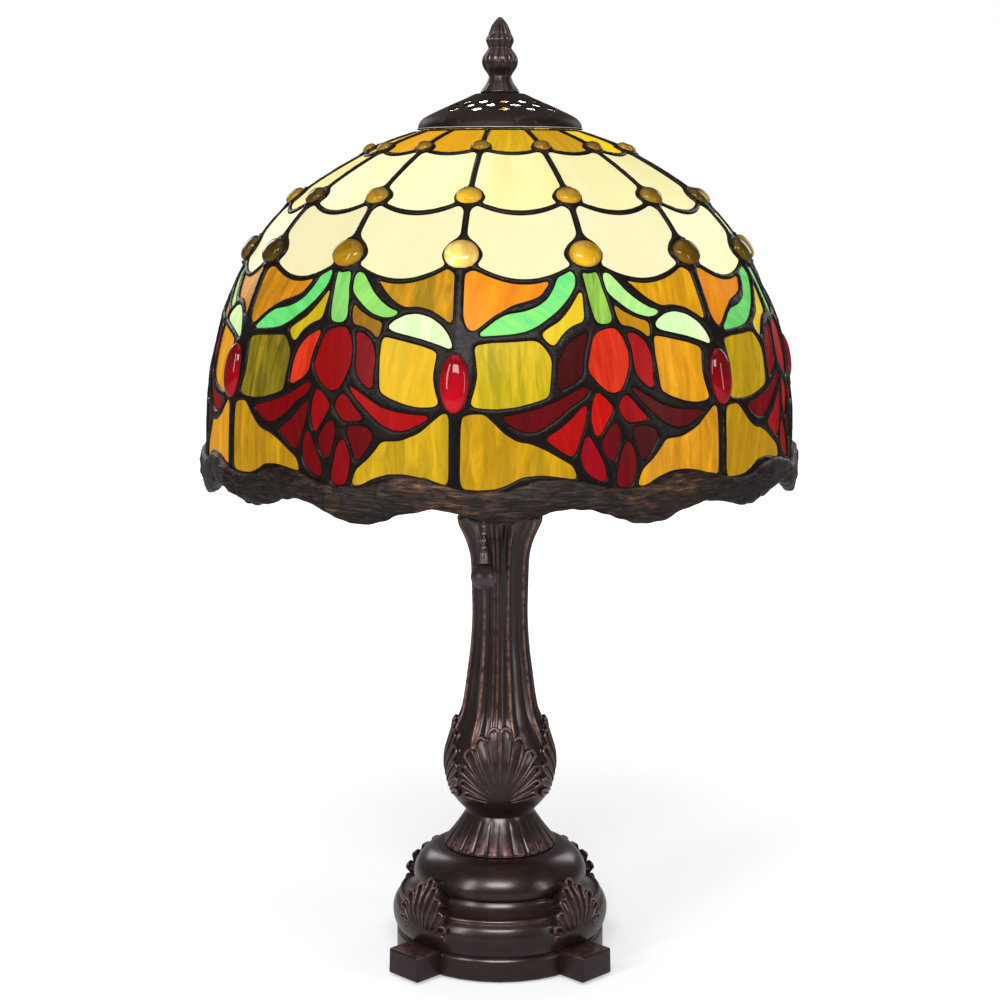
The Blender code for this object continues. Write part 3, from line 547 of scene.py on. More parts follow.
def dome(u, s, off=0.0):
    """Points in mm, u in columns from the tulip at TULIP_AT, s down the glass, off out from it."""
    u, s = np.asarray(u, float), np.asarray(s, float)
    r, z, nr, nz = profile_at(s)
    r = r * facet(u, s) + nr * off
    z = z + nz * off
    th = TULIP_AT + u * STEP
    return np.stack([r * np.sin(th), -r * np.cos(th), z], -1)


def scallop(row, u):
    return S_ROW[row] + ROW_SAG[row] * np.abs(np.sin(np.pi * np.asarray(u, float))) ** 0.75


def rim_top(u):
    return S_END - 18.6 + 3.0 * np.cos(TAU * (u - 0.2))


def rim_bottom(u):
    return S_END - 4.0 + 3.4 * np.cos(TAU * (u - 0.33)) + 1.4 * np.cos(np.pi * (u - 0.41))


# The tulip, drawn once in columns either side of its stem and mm down the glass.
TULIP = {
    "stem": ("green", [(-0.052, 112.6), (0.062, 114.2), (0.086, 120.0), (0.114, 129.0), (0.138, 139.4), (0.108, 140.8),
                       (0.026, 140.8), (0.006, 139.4), (-0.016, 133.0), (-0.035, 122.5)]),
    "leaf_left": ("green", [(-0.146, 113.9), (-0.108, 117.9), (-0.118, 122.5), (-0.170, 127.7), (-0.257, 133.7),
                            (-0.354, 138.5), (-0.431, 141.8), (-0.508, 144.0), (-0.605, 145.2), (-0.730, 145.8),
                            (-0.855, 146.3), (-0.798, 142.5), (-0.730, 138.9), (-0.643, 136.3), (-0.508, 135.0),
                            (-0.412, 132.7), (-0.331, 129.0), (-0.277, 123.8), (-0.240, 118.8), (-0.204, 115.8)]),
    "leaf_right": ("lime", [(0.132, 116.2), (0.186, 116.9), (0.235, 120.5), (0.302, 125.8), (0.389, 130.6),
                            (0.476, 134.0), (0.566, 135.7), (0.505, 137.7), (0.437, 138.0), (0.341, 136.3),
                            (0.264, 133.0), (0.177, 128.4), (0.125, 124.8), (0.122, 119.2)]),
    "half_moon": ("mint", [(0.480, 142.8), (0.530, 139.3), (0.610, 136.9), (0.700, 136.2), (0.800, 137.8),
                           (0.890, 141.6), (0.950, 146.6), (0.984, 152.8), (0.880, 150.2), (0.760, 147.8),
                           (0.640, 146.0), (0.540, 144.6)]),
    "wedge_left": ("yellow", [(-0.072, 123.9), (-0.082, 139.6), (-0.141, 140.6), (-0.199, 142.5), (-0.261, 146.2),
                              (-0.315, 151.4), (-0.360, 148.8), (-0.404, 145.4), (-0.335, 142.5), (-0.257, 139.6),
                              (-0.180, 134.3), (-0.122, 129.0)]),
    "wedge_right": ("amber", [(0.168, 131.5), (0.225, 135.0), (0.302, 137.6), (0.380, 139.6), (0.440, 140.6),
                              (0.430, 143.4), (0.424, 148.9), (0.380, 145.5), (0.322, 143.3), (0.264, 142.0),
                              (0.202, 141.7), (0.180, 137.0)]),
    "sky_left": ("orange", [(-0.960, 114.6), (-0.875, 115.4), (-0.798, 117.8), (-0.701, 120.0), (-0.605, 121.2),
                            (-0.469, 121.4), (-0.296, 120.2), (-0.344, 123.6), (-0.383, 127.1), (-0.450, 129.0),
                            (-0.605, 131.7), (-0.720, 136.3), (-0.817, 141.6), (-0.890, 144.2), (-0.930, 142.0),
                            (-0.955, 137.0)]),
    "sky_right": ("amber", [(0.325, 119.3), (0.389, 120.6), (0.495, 121.4), (0.611, 120.9), (0.707, 119.0),
                            (0.794, 116.8), (0.891, 114.0), (0.954, 113.6), (0.957, 122.5), (0.966, 134.3),
                            (0.964, 141.2), (0.900, 137.6), (0.800, 133.9), (0.700, 132.4), (0.601, 132.9),
                            (0.553, 131.9), (0.476, 129.0), (0.408, 125.1), (0.360, 121.8)]),
    "panel_left": ("olive", [(-0.869, 150.8), (-0.759, 149.6), (-0.605, 149.2), (-0.450, 148.5), (-0.415, 149.6),
                             (-0.373, 152.7), (-0.335, 157.3), (-0.350, 167.2), (-0.363, 174.2), (-0.469, 176.4),
                             (-0.585, 178.4), (-0.720, 179.3), (-0.846, 178.8), (-0.892, 177.7), (-0.862, 171.2),
                             (-0.842, 164.6), (-0.856, 156.7)]),
    "panel_right": ("amber", [(0.456, 147.2), (0.540, 148.2), (0.640, 149.6), (0.760, 151.4), (0.868, 153.9),
                              (0.856, 158.5), (0.844, 165.0), (0.860, 171.2), (0.893, 177.4), (0.850, 178.6),
                              (0.760, 178.9), (0.668, 177.9), (0.553, 175.4), (0.470, 172.5), (0.462, 165.9),
                              (0.452, 156.7)]),
    "petal_left": ("maroon", [(-0.066, 144.6), (-0.150, 147.0), (-0.215, 150.2), (-0.262, 154.6), (-0.288, 160.0),
                              (-0.296, 165.6), (-0.302, 171.6), (-0.225, 169.2), (-0.160, 166.8), (-0.124, 164.2),
                              (-0.120, 158.5), (-0.096, 152.0), (-0.072, 148.0)]),
    "petal_mid": ("scarlet", [(0.004, 145.0), (0.071, 143.5), (0.148, 143.1), (0.197, 147.5), (0.229, 154.0),
                              (0.226, 160.6), (0.187, 167.2), (0.148, 171.8), (0.090, 172.8), (0.042, 171.6),
                              (-0.016, 167.9), (-0.064, 163.9), (-0.080, 161.0), (-0.054, 154.0), (-0.026, 147.5)]),
    "petal_right": ("crimson", [(0.235, 145.2), (0.302, 145.9), (0.370, 149.2), (0.404, 154.0), (0.415, 159.0),
                                (0.408, 164.0), (0.412, 171.6), (0.370, 170.6), (0.320, 167.8), (0.283, 164.6),
                                (0.268, 160.6), (0.268, 154.0), (0.252, 148.8)]),
    "wing_left": ("maroon", [(-0.694, 183.2), (-0.566, 181.7), (-0.412, 179.0), (-0.277, 175.4), (-0.199, 172.4),
                             (-0.132, 170.0), (-0.086, 169.4), (-0.093, 172.5), (-0.132, 175.1), (-0.219, 178.4),
                             (-0.306, 183.7), (-0.383, 187.0), (-0.450, 189.6), (-0.527, 189.8), (-0.600, 187.6)]),
    "wing_right": ("maroon", [(0.220, 169.8), (0.302, 172.9), (0.380, 176.0), (0.476, 179.7), (0.592, 181.7),
                              (0.698, 182.5), (0.850, 183.0), (0.746, 187.0), (0.668, 189.6), (0.582, 189.8),
                              (0.495, 187.6), (0.408, 183.0), (0.322, 177.7), (0.264, 173.8)]),
    "barb_left": ("crimson", [(-0.100, 177.4), (-0.107, 181.7), (-0.122, 187.0), (-0.151, 193.5), (-0.180, 198.8),
                              (-0.207, 201.6), (-0.277, 198.8), (-0.335, 195.9), (-0.392, 192.9), (-0.306, 189.6),
                              (-0.219, 185.0), (-0.151, 180.1)]),
    "kite_left": ("scarlet", [(-0.028, 171.8), (0.032, 175.3), (0.090, 179.7), (0.052, 184.3), (0.004, 189.6),
                              (-0.034, 193.5), (-0.060, 188.3), (-0.072, 183.7), (-0.060, 177.1)]),
    "barb_right": ("crimson", [(0.187, 173.6), (0.235, 176.6), (0.283, 180.4), (0.358, 185.6), (0.302, 186.2),
                               (0.197, 186.5), (0.143, 182.3), (0.129, 179.0), (0.150, 175.8)]),
    "kite_right": ("maroon", [(0.110, 186.0), (0.133, 189.6), (0.133, 193.5), (0.110, 198.8), (0.090, 204.2),
                              (0.062, 203.8), (0.032, 201.4), (0.002, 198.6), (0.006, 194.2), (0.052, 188.9)]),
    "skirt_right": ("dark", [(0.225, 189.1), (0.322, 188.2), (0.408, 190.2), (0.430, 193.9), (0.380, 198.8),
                             (0.341, 202.7), (0.290, 205.2), (0.274, 200.1), (0.245, 194.8)]),
    "tip_left": ("crimson", [(-0.099, 191.2), (-0.054, 196.2), (-0.016, 200.8), (0.019, 206.0), (0.034, 212.0),
                             (0.004, 213.2), (-0.054, 211.3), (-0.122, 207.3), (-0.145, 202.7), (-0.141, 197.5),
                             (-0.124, 193.5)]),
    "tip_right": ("crimson", [(0.190, 194.4), (0.230, 197.5), (0.257, 202.7), (0.249, 208.0), (0.218, 215.4),
                              (0.187, 216.1), (0.116, 215.8), (0.104, 212.6), (0.125, 206.0), (0.150, 198.8)]),
    "ground_left": ("olive", [(-0.950, 183.0), (-0.880, 181.9), (-0.798, 181.9), (-0.740, 185.6), (-0.662, 190.9),
                              (-0.576, 194.4), (-0.489, 195.3), (-0.392, 198.1), (-0.277, 202.7), (-0.203, 205.6),
                              (-0.170, 211.6), (-0.277, 210.4), (-0.412, 209.2), (-0.547, 210.0), (-0.643, 213.6),
                              (-0.720, 215.4), (-0.840, 216.0), (-0.958, 215.4)]),
    "ground_right": ("amber", [(0.962, 181.2), (0.925, 181.6), (0.852, 185.6), (0.765, 190.9), (0.630, 194.8),
                               (0.490, 195.3), (0.457, 198.8), (0.389, 204.0), (0.302, 208.7), (0.264, 216.2),
                               (0.341, 215.4), (0.418, 212.4), (0.534, 209.8), (0.660, 209.4), (0.784, 210.8),
                               (0.900, 213.2), (0.962, 214.2)]),
}


def chaikin(poly, rounds=2, cut=0.16):
    p = [np.array(q, float) for q in poly]
    for _ in range(rounds):
        out = []
        for a, b in zip(p, p[1:] + p[:1]):
            out += [a * (1 - cut) + b * cut, a * cut + b * (1 - cut)]
        p = out
    return np.array(p)


def resample(poly, step):
    p = np.vstack([poly, poly[:1]])
    d = np.r_[0, np.cumsum(np.hypot(*np.diff(p, axis=0).T))]
    n = max(6, int(round(d[-1] / step)))
    t = np.linspace(0, d[-1], n, endpoint=False)
    return np.stack([np.interp(t, d, p[:, 0]), np.interp(t, d, p[:, 1])], -1)


def offset(poly, amount):
    """Moves a closed outline outward (positive) along its normals, in the plane."""
    a = np.roll(poly, 1, 0)
    b = np.roll(poly, -1, 0)
    t = b - a
    n = np.stack([t[:, 1], -t[:, 0]], -1)
    n /= np.maximum(np.linalg.norm(n, axis=1, keepdims=True), 1e-9)
    area = 0.5 * np.sum(poly[:, 0] * b[:, 1] - b[:, 0] * poly[:, 1])
    return poly + n * (amount if area > 0 else -amount)


def push_out(poly, centre, semi):
    """Keeps an outline out of an ellipse."""
    d = (poly - np.array(centre)) / np.array(semi)
    r = np.linalg.norm(d, axis=1)
    k = np.where(r < 1.0, 1.0 / np.maximum(r, 1e-3), 1.0)
    return np.array(centre) + d * k[:, None] * np.array(semi)


def width_at(s):
    """True mm to one column at s."""
    return float(profile_at(s)[0]) * STEP


def jewel_flare(row, s):
    """Half the width of lead on a column line near that row's jewel: a ring round it that fairs into the line."""
    r = JEWEL_R[row]
    d = abs(S_ROW[row] - s)
    ring = math.sqrt(max(0.0, (r + 1.0) ** 2 - d * d))
    w = r + (1.3, 1.7, 2.0)[row]
    return max(ring, w * math.exp(-1.25 * (d / w) ** 2) if d < 2.4 * w else 0.0)


def row_tiles():
    """The crown and the two cream rows: one tile to each column, between scalloped leads."""
    tiles = []
    rows = ((-1, 0, 1.45), (0, 1, 1.60), (1, 2, 1.72))
    for top_row, bottom_row, lead in rows:
        for c in (-1, 0):
            pts = []
            n = 40

            def limits(f):
                top = 2.2 if top_row < 0 else float(scallop(top_row, f)) + lead
                return top, float(scallop(bottom_row, f)) - lead

            def side(s):
                w = lead
                for row in (top_row, bottom_row):
                    if row >= 0:
                        w = max(w, jewel_flare(row, s))
                return w / width_at(s)

            left = []
            s = 0.0
            for k in range(160):
                s = k * 0.75 + (S_ROW[top_row] - 4 if top_row >= 0 else 2.2)
                f = side(s)
                t, b = limits(f)
                if t <= s <= b:
                    left.append((f, s))
            lower = [(f, limits(f)[1]) for f in np.linspace(0.02, 0.98, 60)]
            lower = [(f, s) for f, s in lower if side(s) < f < 1 - side(s)]
            upper = [(f, limits(f)[0]) for f in np.linspace(0.98, 0.02, 60)]
            upper = [(f, s) for f, s in upper if side(s) < f < 1 - side(s)]
            right = [(1 - f, s) for f, s in left[::-1]]
            poly = np.array([((c + f) * PLANE, s) for f, s in left + lower + right + upper])
            poly = resample(poly, 1.0)
            for _ in range(2):
                poly = (np.roll(poly, 1, 0) + poly * 2 + np.roll(poly, -1, 0)) / 4
            kind = "crown" if top_row < 0 else "cream_upper" if top_row == 0 else "cream_lower"
            tiles.append(("%s_%d" % (kind, c + 1), kind, poly))
    return tiles


def keep_clear(p):
    """Holds an outline off the jewels, the scallops above and the repeat's edges."""
    for side in (-1, 1):
        p = push_out(p, (side * PLANE, S_RUBY), (RUBY_W + 1.5, RUBY_H + 1.5))
    for u in (-1, 0, 1):
        p = push_out(p, (u * PLANE, S_ROW[2]), (JEWEL_R[2] + 2.0, JEWEL_R[2] + 2.0))
    p[:, 1] = np.maximum(p[:, 1], scallop(2, p[:, 0] / PLANE) + 1.3)
    p[:, 0] = np.clip(p[:, 0], -PLANE + 1.2, PLANE - 1.2)
    return p


def tulip_tiles(rows):
    tiles = []
    for name, (tone, pts) in TULIP.items():
        p = resample(chaikin([(u * PLANE, s) for u, s in pts], 2, 0.13), 0.8)
        tiles.append([name, tone, keep_clear(p)])
    # no two pieces come closer than an even run of lead
    even, reach = 2.55, 4.4
    fixed = [resample(p, 1.2) for _, _, p in rows]
    for _ in range(7):
        everything = fixed + [t[2] for t in tiles]
        count = sum(len(q) for q in everything)
        kd = kdtree.KDTree(count * 3)
        owner, where = [], []
        for i, q in enumerate(everything):
            for x, y in q:
                for shift in (0.0, 2 * PLANE, -2 * PLANE):
                    if -1.25 * PLANE < x + shift < 1.25 * PLANE:
                        kd.insert((x + shift, y, 0.0), len(owner))
                        owner.append(i)
                        where.append((x + shift, y))
        kd.balance()
        moved = []
        for i, t in enumerate(tiles):
            p = t[2]
            out = p.copy()
            normal = offset(p, 1.0) - p
            for k, (x, y) in enumerate(p):
                for _, j, dist in kd.find_n((x, y, 0.0), 24):
                    if owner[j] != i + len(fixed):
                        if dist < reach:
                            way = ((where[j][0] - x) / dist, (where[j][1] - y) / dist)
                            facing = max(0.0, way[0] * normal[k][0] + way[1] * normal[k][1])
                            step = min(0.0, max(-0.4, (dist - even) * 0.45))
                            out[k] += normal[k] * step * facing
                        break
            out = (np.roll(out, 1, 0) + out * 14 + np.roll(out, -1, 0)) / 16
            moved.append(keep_clear(out))
        for t, q in zip(tiles, moved):
            t[2] = resample(q, 0.8)
    return [tuple(t) for t in tiles]


ROW_TILES = row_tiles()
TILES = ROW_TILES + tulip_tiles(ROW_TILES)


def inside(points, poly):
    x, y = points[:, 0], points[:, 1]
    result = np.zeros(len(points), bool)
    lo, hi = poly.min(0), poly.max(0)
    near = (x >= lo[0]) & (x <= hi[0]) & (y >= lo[1]) & (y <= hi[1])
    idx = np.nonzero(near)[0]
    if not len(idx):
        return result
    px, py = x[idx], y[idx]
    r = np.zeros(len(idx), bool)
    a, b = poly, np.roll(poly, -1, 0)
    for (x0, y0), (x1, y1) in zip(a, b):
        if y0 == y1:
            continue
        hit = ((y0 > py) != (y1 > py)) & (px < (x1 - x0) * (py - y0) / (y1 - y0) + x0)
        r ^= hit
    result[idx] = r
    return result


def lead_mesh():
    """The solder network of one tulip repeat, as a flat triangulation with the tiles left out."""
    loops = [resample(p, 1.15) for _, _, p in TILES]
    s_top = 0.4
    side_s = np.arange(1, 165) / 165.0
    bottom_u = np.linspace(-1, 1, 72)
    end = np.array([float(rim_top(u)) + 3.0 for u in bottom_u])
    outer = [(-PLANE, s_top)] + [(-PLANE, s_top + (end[0] - s_top) * f) for f in side_s]
    outer += [(u * PLANE, e) for u, e in zip(bottom_u, end)]
    outer += [(PLANE, s_top + (end[-1] - s_top) * f) for f in side_s[::-1]] + [(PLANE, s_top)]
    outer += [(x * PLANE, s_top) for x in np.linspace(1, -1, 40)[1:-1]]
    verts = list(outer)
    edges = [(i, (i + 1) % len(outer)) for i in range(len(outer))]
    marks = [("outer", 0)] * len(outer)
    for loop in loops:
        b = len(verts)
        verts += [tuple(p) for p in loop]
        edges += [(b + i, b + (i + 1) % len(loop)) for i in range(len(loop))]
    kd = kdtree.KDTree(sum(len(x) for x in loops))
    i = 0
    for loop in loops:
        for x, y in loop:
            kd.insert((x, y, 0), i)
            i += 1
    kd.balance()
    extra = []
    for d in (0.5, 1.15):
        for loop in loops:
            for x, y in offset(loop, d):
                if abs(x) < PLANE - 0.35 and s_top + 0.3 < y:
                    if kd.find((x, y, 0))[2] > d * 0.86:
                        extra.append((x, y))
    gx, gy = np.meshgrid(np.arange(-PLANE + 0.9, PLANE - 0.5, 1.5), np.arange(1.2, S_END, 1.5))
    for x, y in zip(gx.ravel(), gy.ravel()):
        if y < float(rim_top(x / PLANE)) + 2.4 and kd.find((x, y, 0))[2] > 1.55:
            extra.append((float(x), float(y)))
    extra = np.array(extra)
    keep = np.ones(len(extra), bool)
    for _, _, p in TILES:
        keep &= ~inside(extra, p)
    extra = extra[keep]
    # thin out points that crowd one another
    cell = {}
    chosen = []
    for x, y in extra:
        key = (int(x // 0.55), int(y // 0.55))
        if any((key[0] + a, key[1] + b) in cell and math.hypot(cell[key[0] + a, key[1] + b][0] - x,
                                                               cell[key[0] + a, key[1] + b][1] - y) < 0.5
               for a in (-1, 0, 1) for b in (-1, 0, 1)):
            continue
        cell[key] = (x, y)
        chosen.append((float(x), float(y)))
    verts += chosen
    co, _, tris, *_ = delaunay_2d_cdt([Vector(v) for v in verts], edges, [], 0, 1e-4, True)
    co = np.array([tuple(v) for v in co])
    tris = np.array([t for t in tris if len(t) == 3])
    mid = co[tris].mean(1)
    gone = np.zeros(len(tris), bool)
    for loop in loops:
        gone |= inside(mid, loop)
    gone |= ~inside(mid, np.array(outer))
    tris = tris[~gone]
    used = np.unique(tris)
    remap = -np.ones(len(co), int)
    remap[used] = np.arange(len(used))
    co, tris = co[used], remap[tris]
    # distance to the nearest tile edge, measured on the glass itself
    bound = np.vstack(loops)
    true = dome(bound[:, 0] / PLANE, bound[:, 1])
    kd = kdtree.KDTree(len(true))
    for i, p in enumerate(true):
        kd.insert(p, i)
    kd.balance()
    here = dome(co[:, 0] / PLANE, co[:, 1])
    dist = np.array([kd.find(p)[2] for p in here])
    return co, tris, dist


def build_lead():
    co, tris, dist = lead_mesh()
    w = 1.5
    t = np.clip(dist / w, 0, 1)
    rise = 1.35 * np.sqrt(np.clip(1 - (1 - t) ** 2, 0, 1)) - 0.28
    u = co[:, 0] / PLANE
    s = co[:, 1]
    # a bezel of solder hugs each jewel
    for row in range(3):
        for c in (-1, 0, 1):
            d = np.hypot((u - c) * np.array([width_at(S_ROW[row])]), s - S_ROW[row])
            rise += 0.75 * np.exp(-((d - JEWEL_R[row] - 0.3) / 0.8) ** 2)
    for c in (-1, 1):
        d = np.hypot((u - c) * width_at(S_RUBY) / RUBY_W, (s - S_RUBY) / RUBY_H)
        rise += 0.7 * np.exp(-(((d - 1.06) * RUBY_W) / 0.9) ** 2)
    lumps = np.array([noise.noise(Vector((x * 0.22, y * 0.22, 3.7))) for x, y in co])
    fine = np.array([noise.noise(Vector((x * 0.7, y * 0.7, 9.1))) for x, y in co])
    rise = rise + np.where(dist > 0.3, 0.16 * lumps + 0.09 * fine, 0)
    rise = rise * smoothstep(0.0, 5.0, s) ** 0.5
    edge_count = {}
    for a, b, c in tris:
        for e in ((a, b), (b, c), (c, a)):
            edge_count[frozenset((int(e[0]), int(e[1])))] = edge_count.get(frozenset((int(e[0]), int(e[1]))), 0) + 1
    n = len(co)
    verts, faces = [], []
    seam = np.abs(np.abs(u) - 1) < 1e-6
    a2 = (co[tris[:, 1]] - co[tris[:, 0]])
    b2 = (co[tris[:, 2]] - co[tris[:, 0]])
    flip = (a2[:, 0] * b2[:, 1] - a2[:, 1] * b2[:, 0]) > 0
    for m in range(MODULES):
        base = len(verts)
        out = dome(u + 2 * m, s, rise)
        inn = dome(u + 2 * m, s, -GLASS - np.maximum(rise, 0.05) * 0.75)
        verts.extend(out.tolist())
        verts.extend(inn.tolist())
        for f, (a, b, c) in zip(flip, tris):
            if f:
                a, c = c, a
            faces.append((base + int(a), base + int(b), base + int(c)))
            faces.append((base + n + int(c), base + n + int(b), base + n + int(a)))
            for p, q in ((a, b), (b, c), (c, a)):
                if edge_count[frozenset((int(p), int(q)))] == 1 and not (seam[p] and seam[q]):
                    faces.append((base + int(q), base + int(p), base + n + int(p), base + n + int(q)))
    o = new_mesh("lead_network", verts, faces, SOLDER, "shade", ("lead_came_network",))
    bm = bmesh.new()
    bm.from_mesh(o.data)
    bmesh.ops.remove_doubles(bm, verts=bm.verts, dist=2e-6)
    bm.to_mesh(o.data)
    bm.free()
    o.data.shade_smooth()
    return o


SRGB = lambda c: tuple((v / 12.92 if v <= 0.04045 else ((v + 0.055) / 1.055) ** 2.4) for v in (x / 255 for x in c))

# Each tone: a light and a dark end that the streaks run between.
TONES = {
    "crown": [((250, 216, 28), (232, 190, 20)), ((238, 176, 20), (214, 150, 18)), ((226, 178, 24), (190, 150, 22)),
              ((214, 168, 24), (182, 136, 20))],
    "cream_upper": [((254, 248, 190), (248, 222, 128)), ((252, 238, 164), (246, 216, 118)),
                    ((254, 253, 206), (252, 240, 168)), ((254, 250, 196), (250, 232, 148))],
    "cream_lower": [((250, 243, 196), (244, 232, 180)), ((246, 238, 188), (238, 226, 174)),
                    ((252, 245, 192), (246, 236, 184))],
    "amber": [((232, 158, 24), (190, 122, 18)), ((214, 146, 22), (176, 116, 18)), ((240, 172, 28), (206, 138, 20))],
    "orange": [((240, 152, 22), (214, 124, 16)), ((214, 142, 22), (150, 112, 16)), ((190, 132, 20), (134, 104, 16))],
    "yellow": [((238, 212, 40), (214, 176, 24)), ((214, 190, 30), (176, 150, 22))],
    "olive": [((206, 160, 24), (150, 124, 20)), ((188, 146, 22), (120, 102, 20)), ((200, 150, 22), (160, 120, 20))],
    "green": [((128, 226, 120), (84, 184, 84)), ((150, 234, 110), (92, 176, 72)), ((136, 220, 110), (96, 160, 60))],
    "lime": [((196, 234, 130), (146, 210, 104)), ((176, 226, 110), (130, 200, 90))],
    "mint": [((244, 254, 200), (196, 240, 170)), ((236, 252, 190), (190, 232, 160))],
    "scarlet": [((220, 62, 30), (160, 12, 12)), ((196, 36, 20), (136, 10, 10)), ((168, 20, 18), (126, 10, 12))],
    "crimson": [((176, 18, 18), (132, 10, 14)), ((152, 16, 22), (112, 10, 14)), ((186, 26, 20), (138, 12, 14))],
    "maroon": [((120, 14, 18), (86, 10, 14)), ((140, 16, 18), (100, 10, 14)), ((100, 14, 18), (70, 8, 12))],
    "dark": [((90, 14, 18), (64, 8, 12)), ((112, 14, 18), (80, 10, 14))],
}
# The two tulips that face the front have glass of their own, piece by piece.
PICKED = {
    0: {"petal_left": ((78, 18, 18), (60, 10, 12)), "petal_mid": ((232, 70, 34), (176, 8, 10)),
        "petal_right": ((176, 20, 22), (140, 10, 14)), "wing_left": ((110, 18, 20), (84, 12, 16)),
        "wing_right": ((98, 16, 20), (66, 12, 15)), "barb_left": ((186, 24, 20), (140, 12, 14)),
        "kite_left": ((214, 30, 20), (168, 12, 14)), "barb_right": ((172, 16, 18), (134, 10, 14)),
        "kite_right": ((112, 16, 20), (84, 12, 16)), "skirt_right": ((76, 16, 20), (56, 12, 15)),
        "tip_left": ((168, 18, 34), (130, 12, 20)), "tip_right": ((120, 16, 20), (90, 12, 15)),
        "stem": ((168, 214, 90), (96, 150, 52)), "leaf_left": ((150, 240, 110), (96, 214, 130)),
        "leaf_right": ((206, 240, 150), (150, 222, 130)), "half_moon": ((240, 254, 196), (196, 240, 170)),
        "sky_left": ((248, 160, 24), (220, 122, 20)), "sky_right": ((242, 180, 28), (180, 122, 20)),
        "panel_left": ((252, 206, 32), (156, 146, 24)), "panel_right": ((252, 178, 34), (190, 128, 18)),
        "ground_left": ((228, 172, 26), (158, 124, 22)), "ground_right": ((250, 174, 30), (176, 120, 24)),
        "wedge_left": ((240, 214, 44), (214, 176, 24)), "wedge_right": ((196, 140, 22), (170, 116, 18))},
    6: {"petal_left": ((226, 66, 34), (170, 14, 12)), "petal_mid": ((160, 16, 16), (122, 10, 12)),
        "petal_right": ((142, 16, 22), (112, 10, 16)), "wing_left": ((136, 12, 16), (98, 8, 11)),
        "wing_right": ((184, 18, 18), (146, 12, 14)), "barb_left": ((118, 14, 16), (90, 10, 13)),
        "kite_left": ((164, 16, 18), (120, 12, 14)), "barb_right": ((150, 16, 18), (116, 10, 14)),
        "kite_right": ((120, 14, 18), (92, 10, 14)), "skirt_right": ((112, 14, 18), (84, 10, 14)),
        "tip_left": ((120, 14, 18), (92, 10, 14)), "tip_right": ((150, 16, 20), (118, 12, 15)),
        "stem": ((160, 226, 130), (110, 190, 84)), "leaf_left": ((120, 232, 130), (84, 196, 96)),
        "leaf_right": ((160, 226, 110), (128, 200, 92)), "half_moon": ((250, 254, 206), (200, 244, 170)),
        "sky_left": ((230, 146, 24), (150, 106, 20)), "sky_right": ((238, 162, 26), (134, 112, 24)),
        "panel_left": ((172, 146, 30), (70, 72, 20)), "panel_right": ((254, 190, 34), (198, 172, 34)),
        "ground_left": ((214, 160, 26), (150, 108, 18)), "ground_right": ((236, 188, 32), (160, 130, 26)),
        "wedge_left": ((214, 190, 30), (176, 150, 22)), "wedge_right": ((170, 120, 24), (132, 94, 20))},
}
GROUPS = {
    "crown": ("crown_panels", CATHEDRAL, "amber_glass", ("crown_glass",)),
    "cream_upper": ("cream_panels_upper", OPAL, "cream_glass", ("cream_glass_upper",)),
    "cream_lower": ("cream_panels_lower", OPAL, "cream_glass", ("cream_glass_lower",)),
    "ground": ("tulip_ground_panels", CATHEDRAL, "tulip_glass", ("tulip_band_glass",)),
    "leaf": ("tulip_leaves", LEAF_GLASS, "tulip_glass", ()),
    "petal": ("tulip_petals", PETAL_GLASS, "tulip_glass", ()),
}


def group_of(tone):
    if tone in ("crown", "cream_upper", "cream_lower"):
        return tone
    if tone in ("green", "lime", "mint"):
        return "leaf"
    if tone in ("scarlet", "crimson", "maroon", "dark"):
        return "petal"
    return "ground"


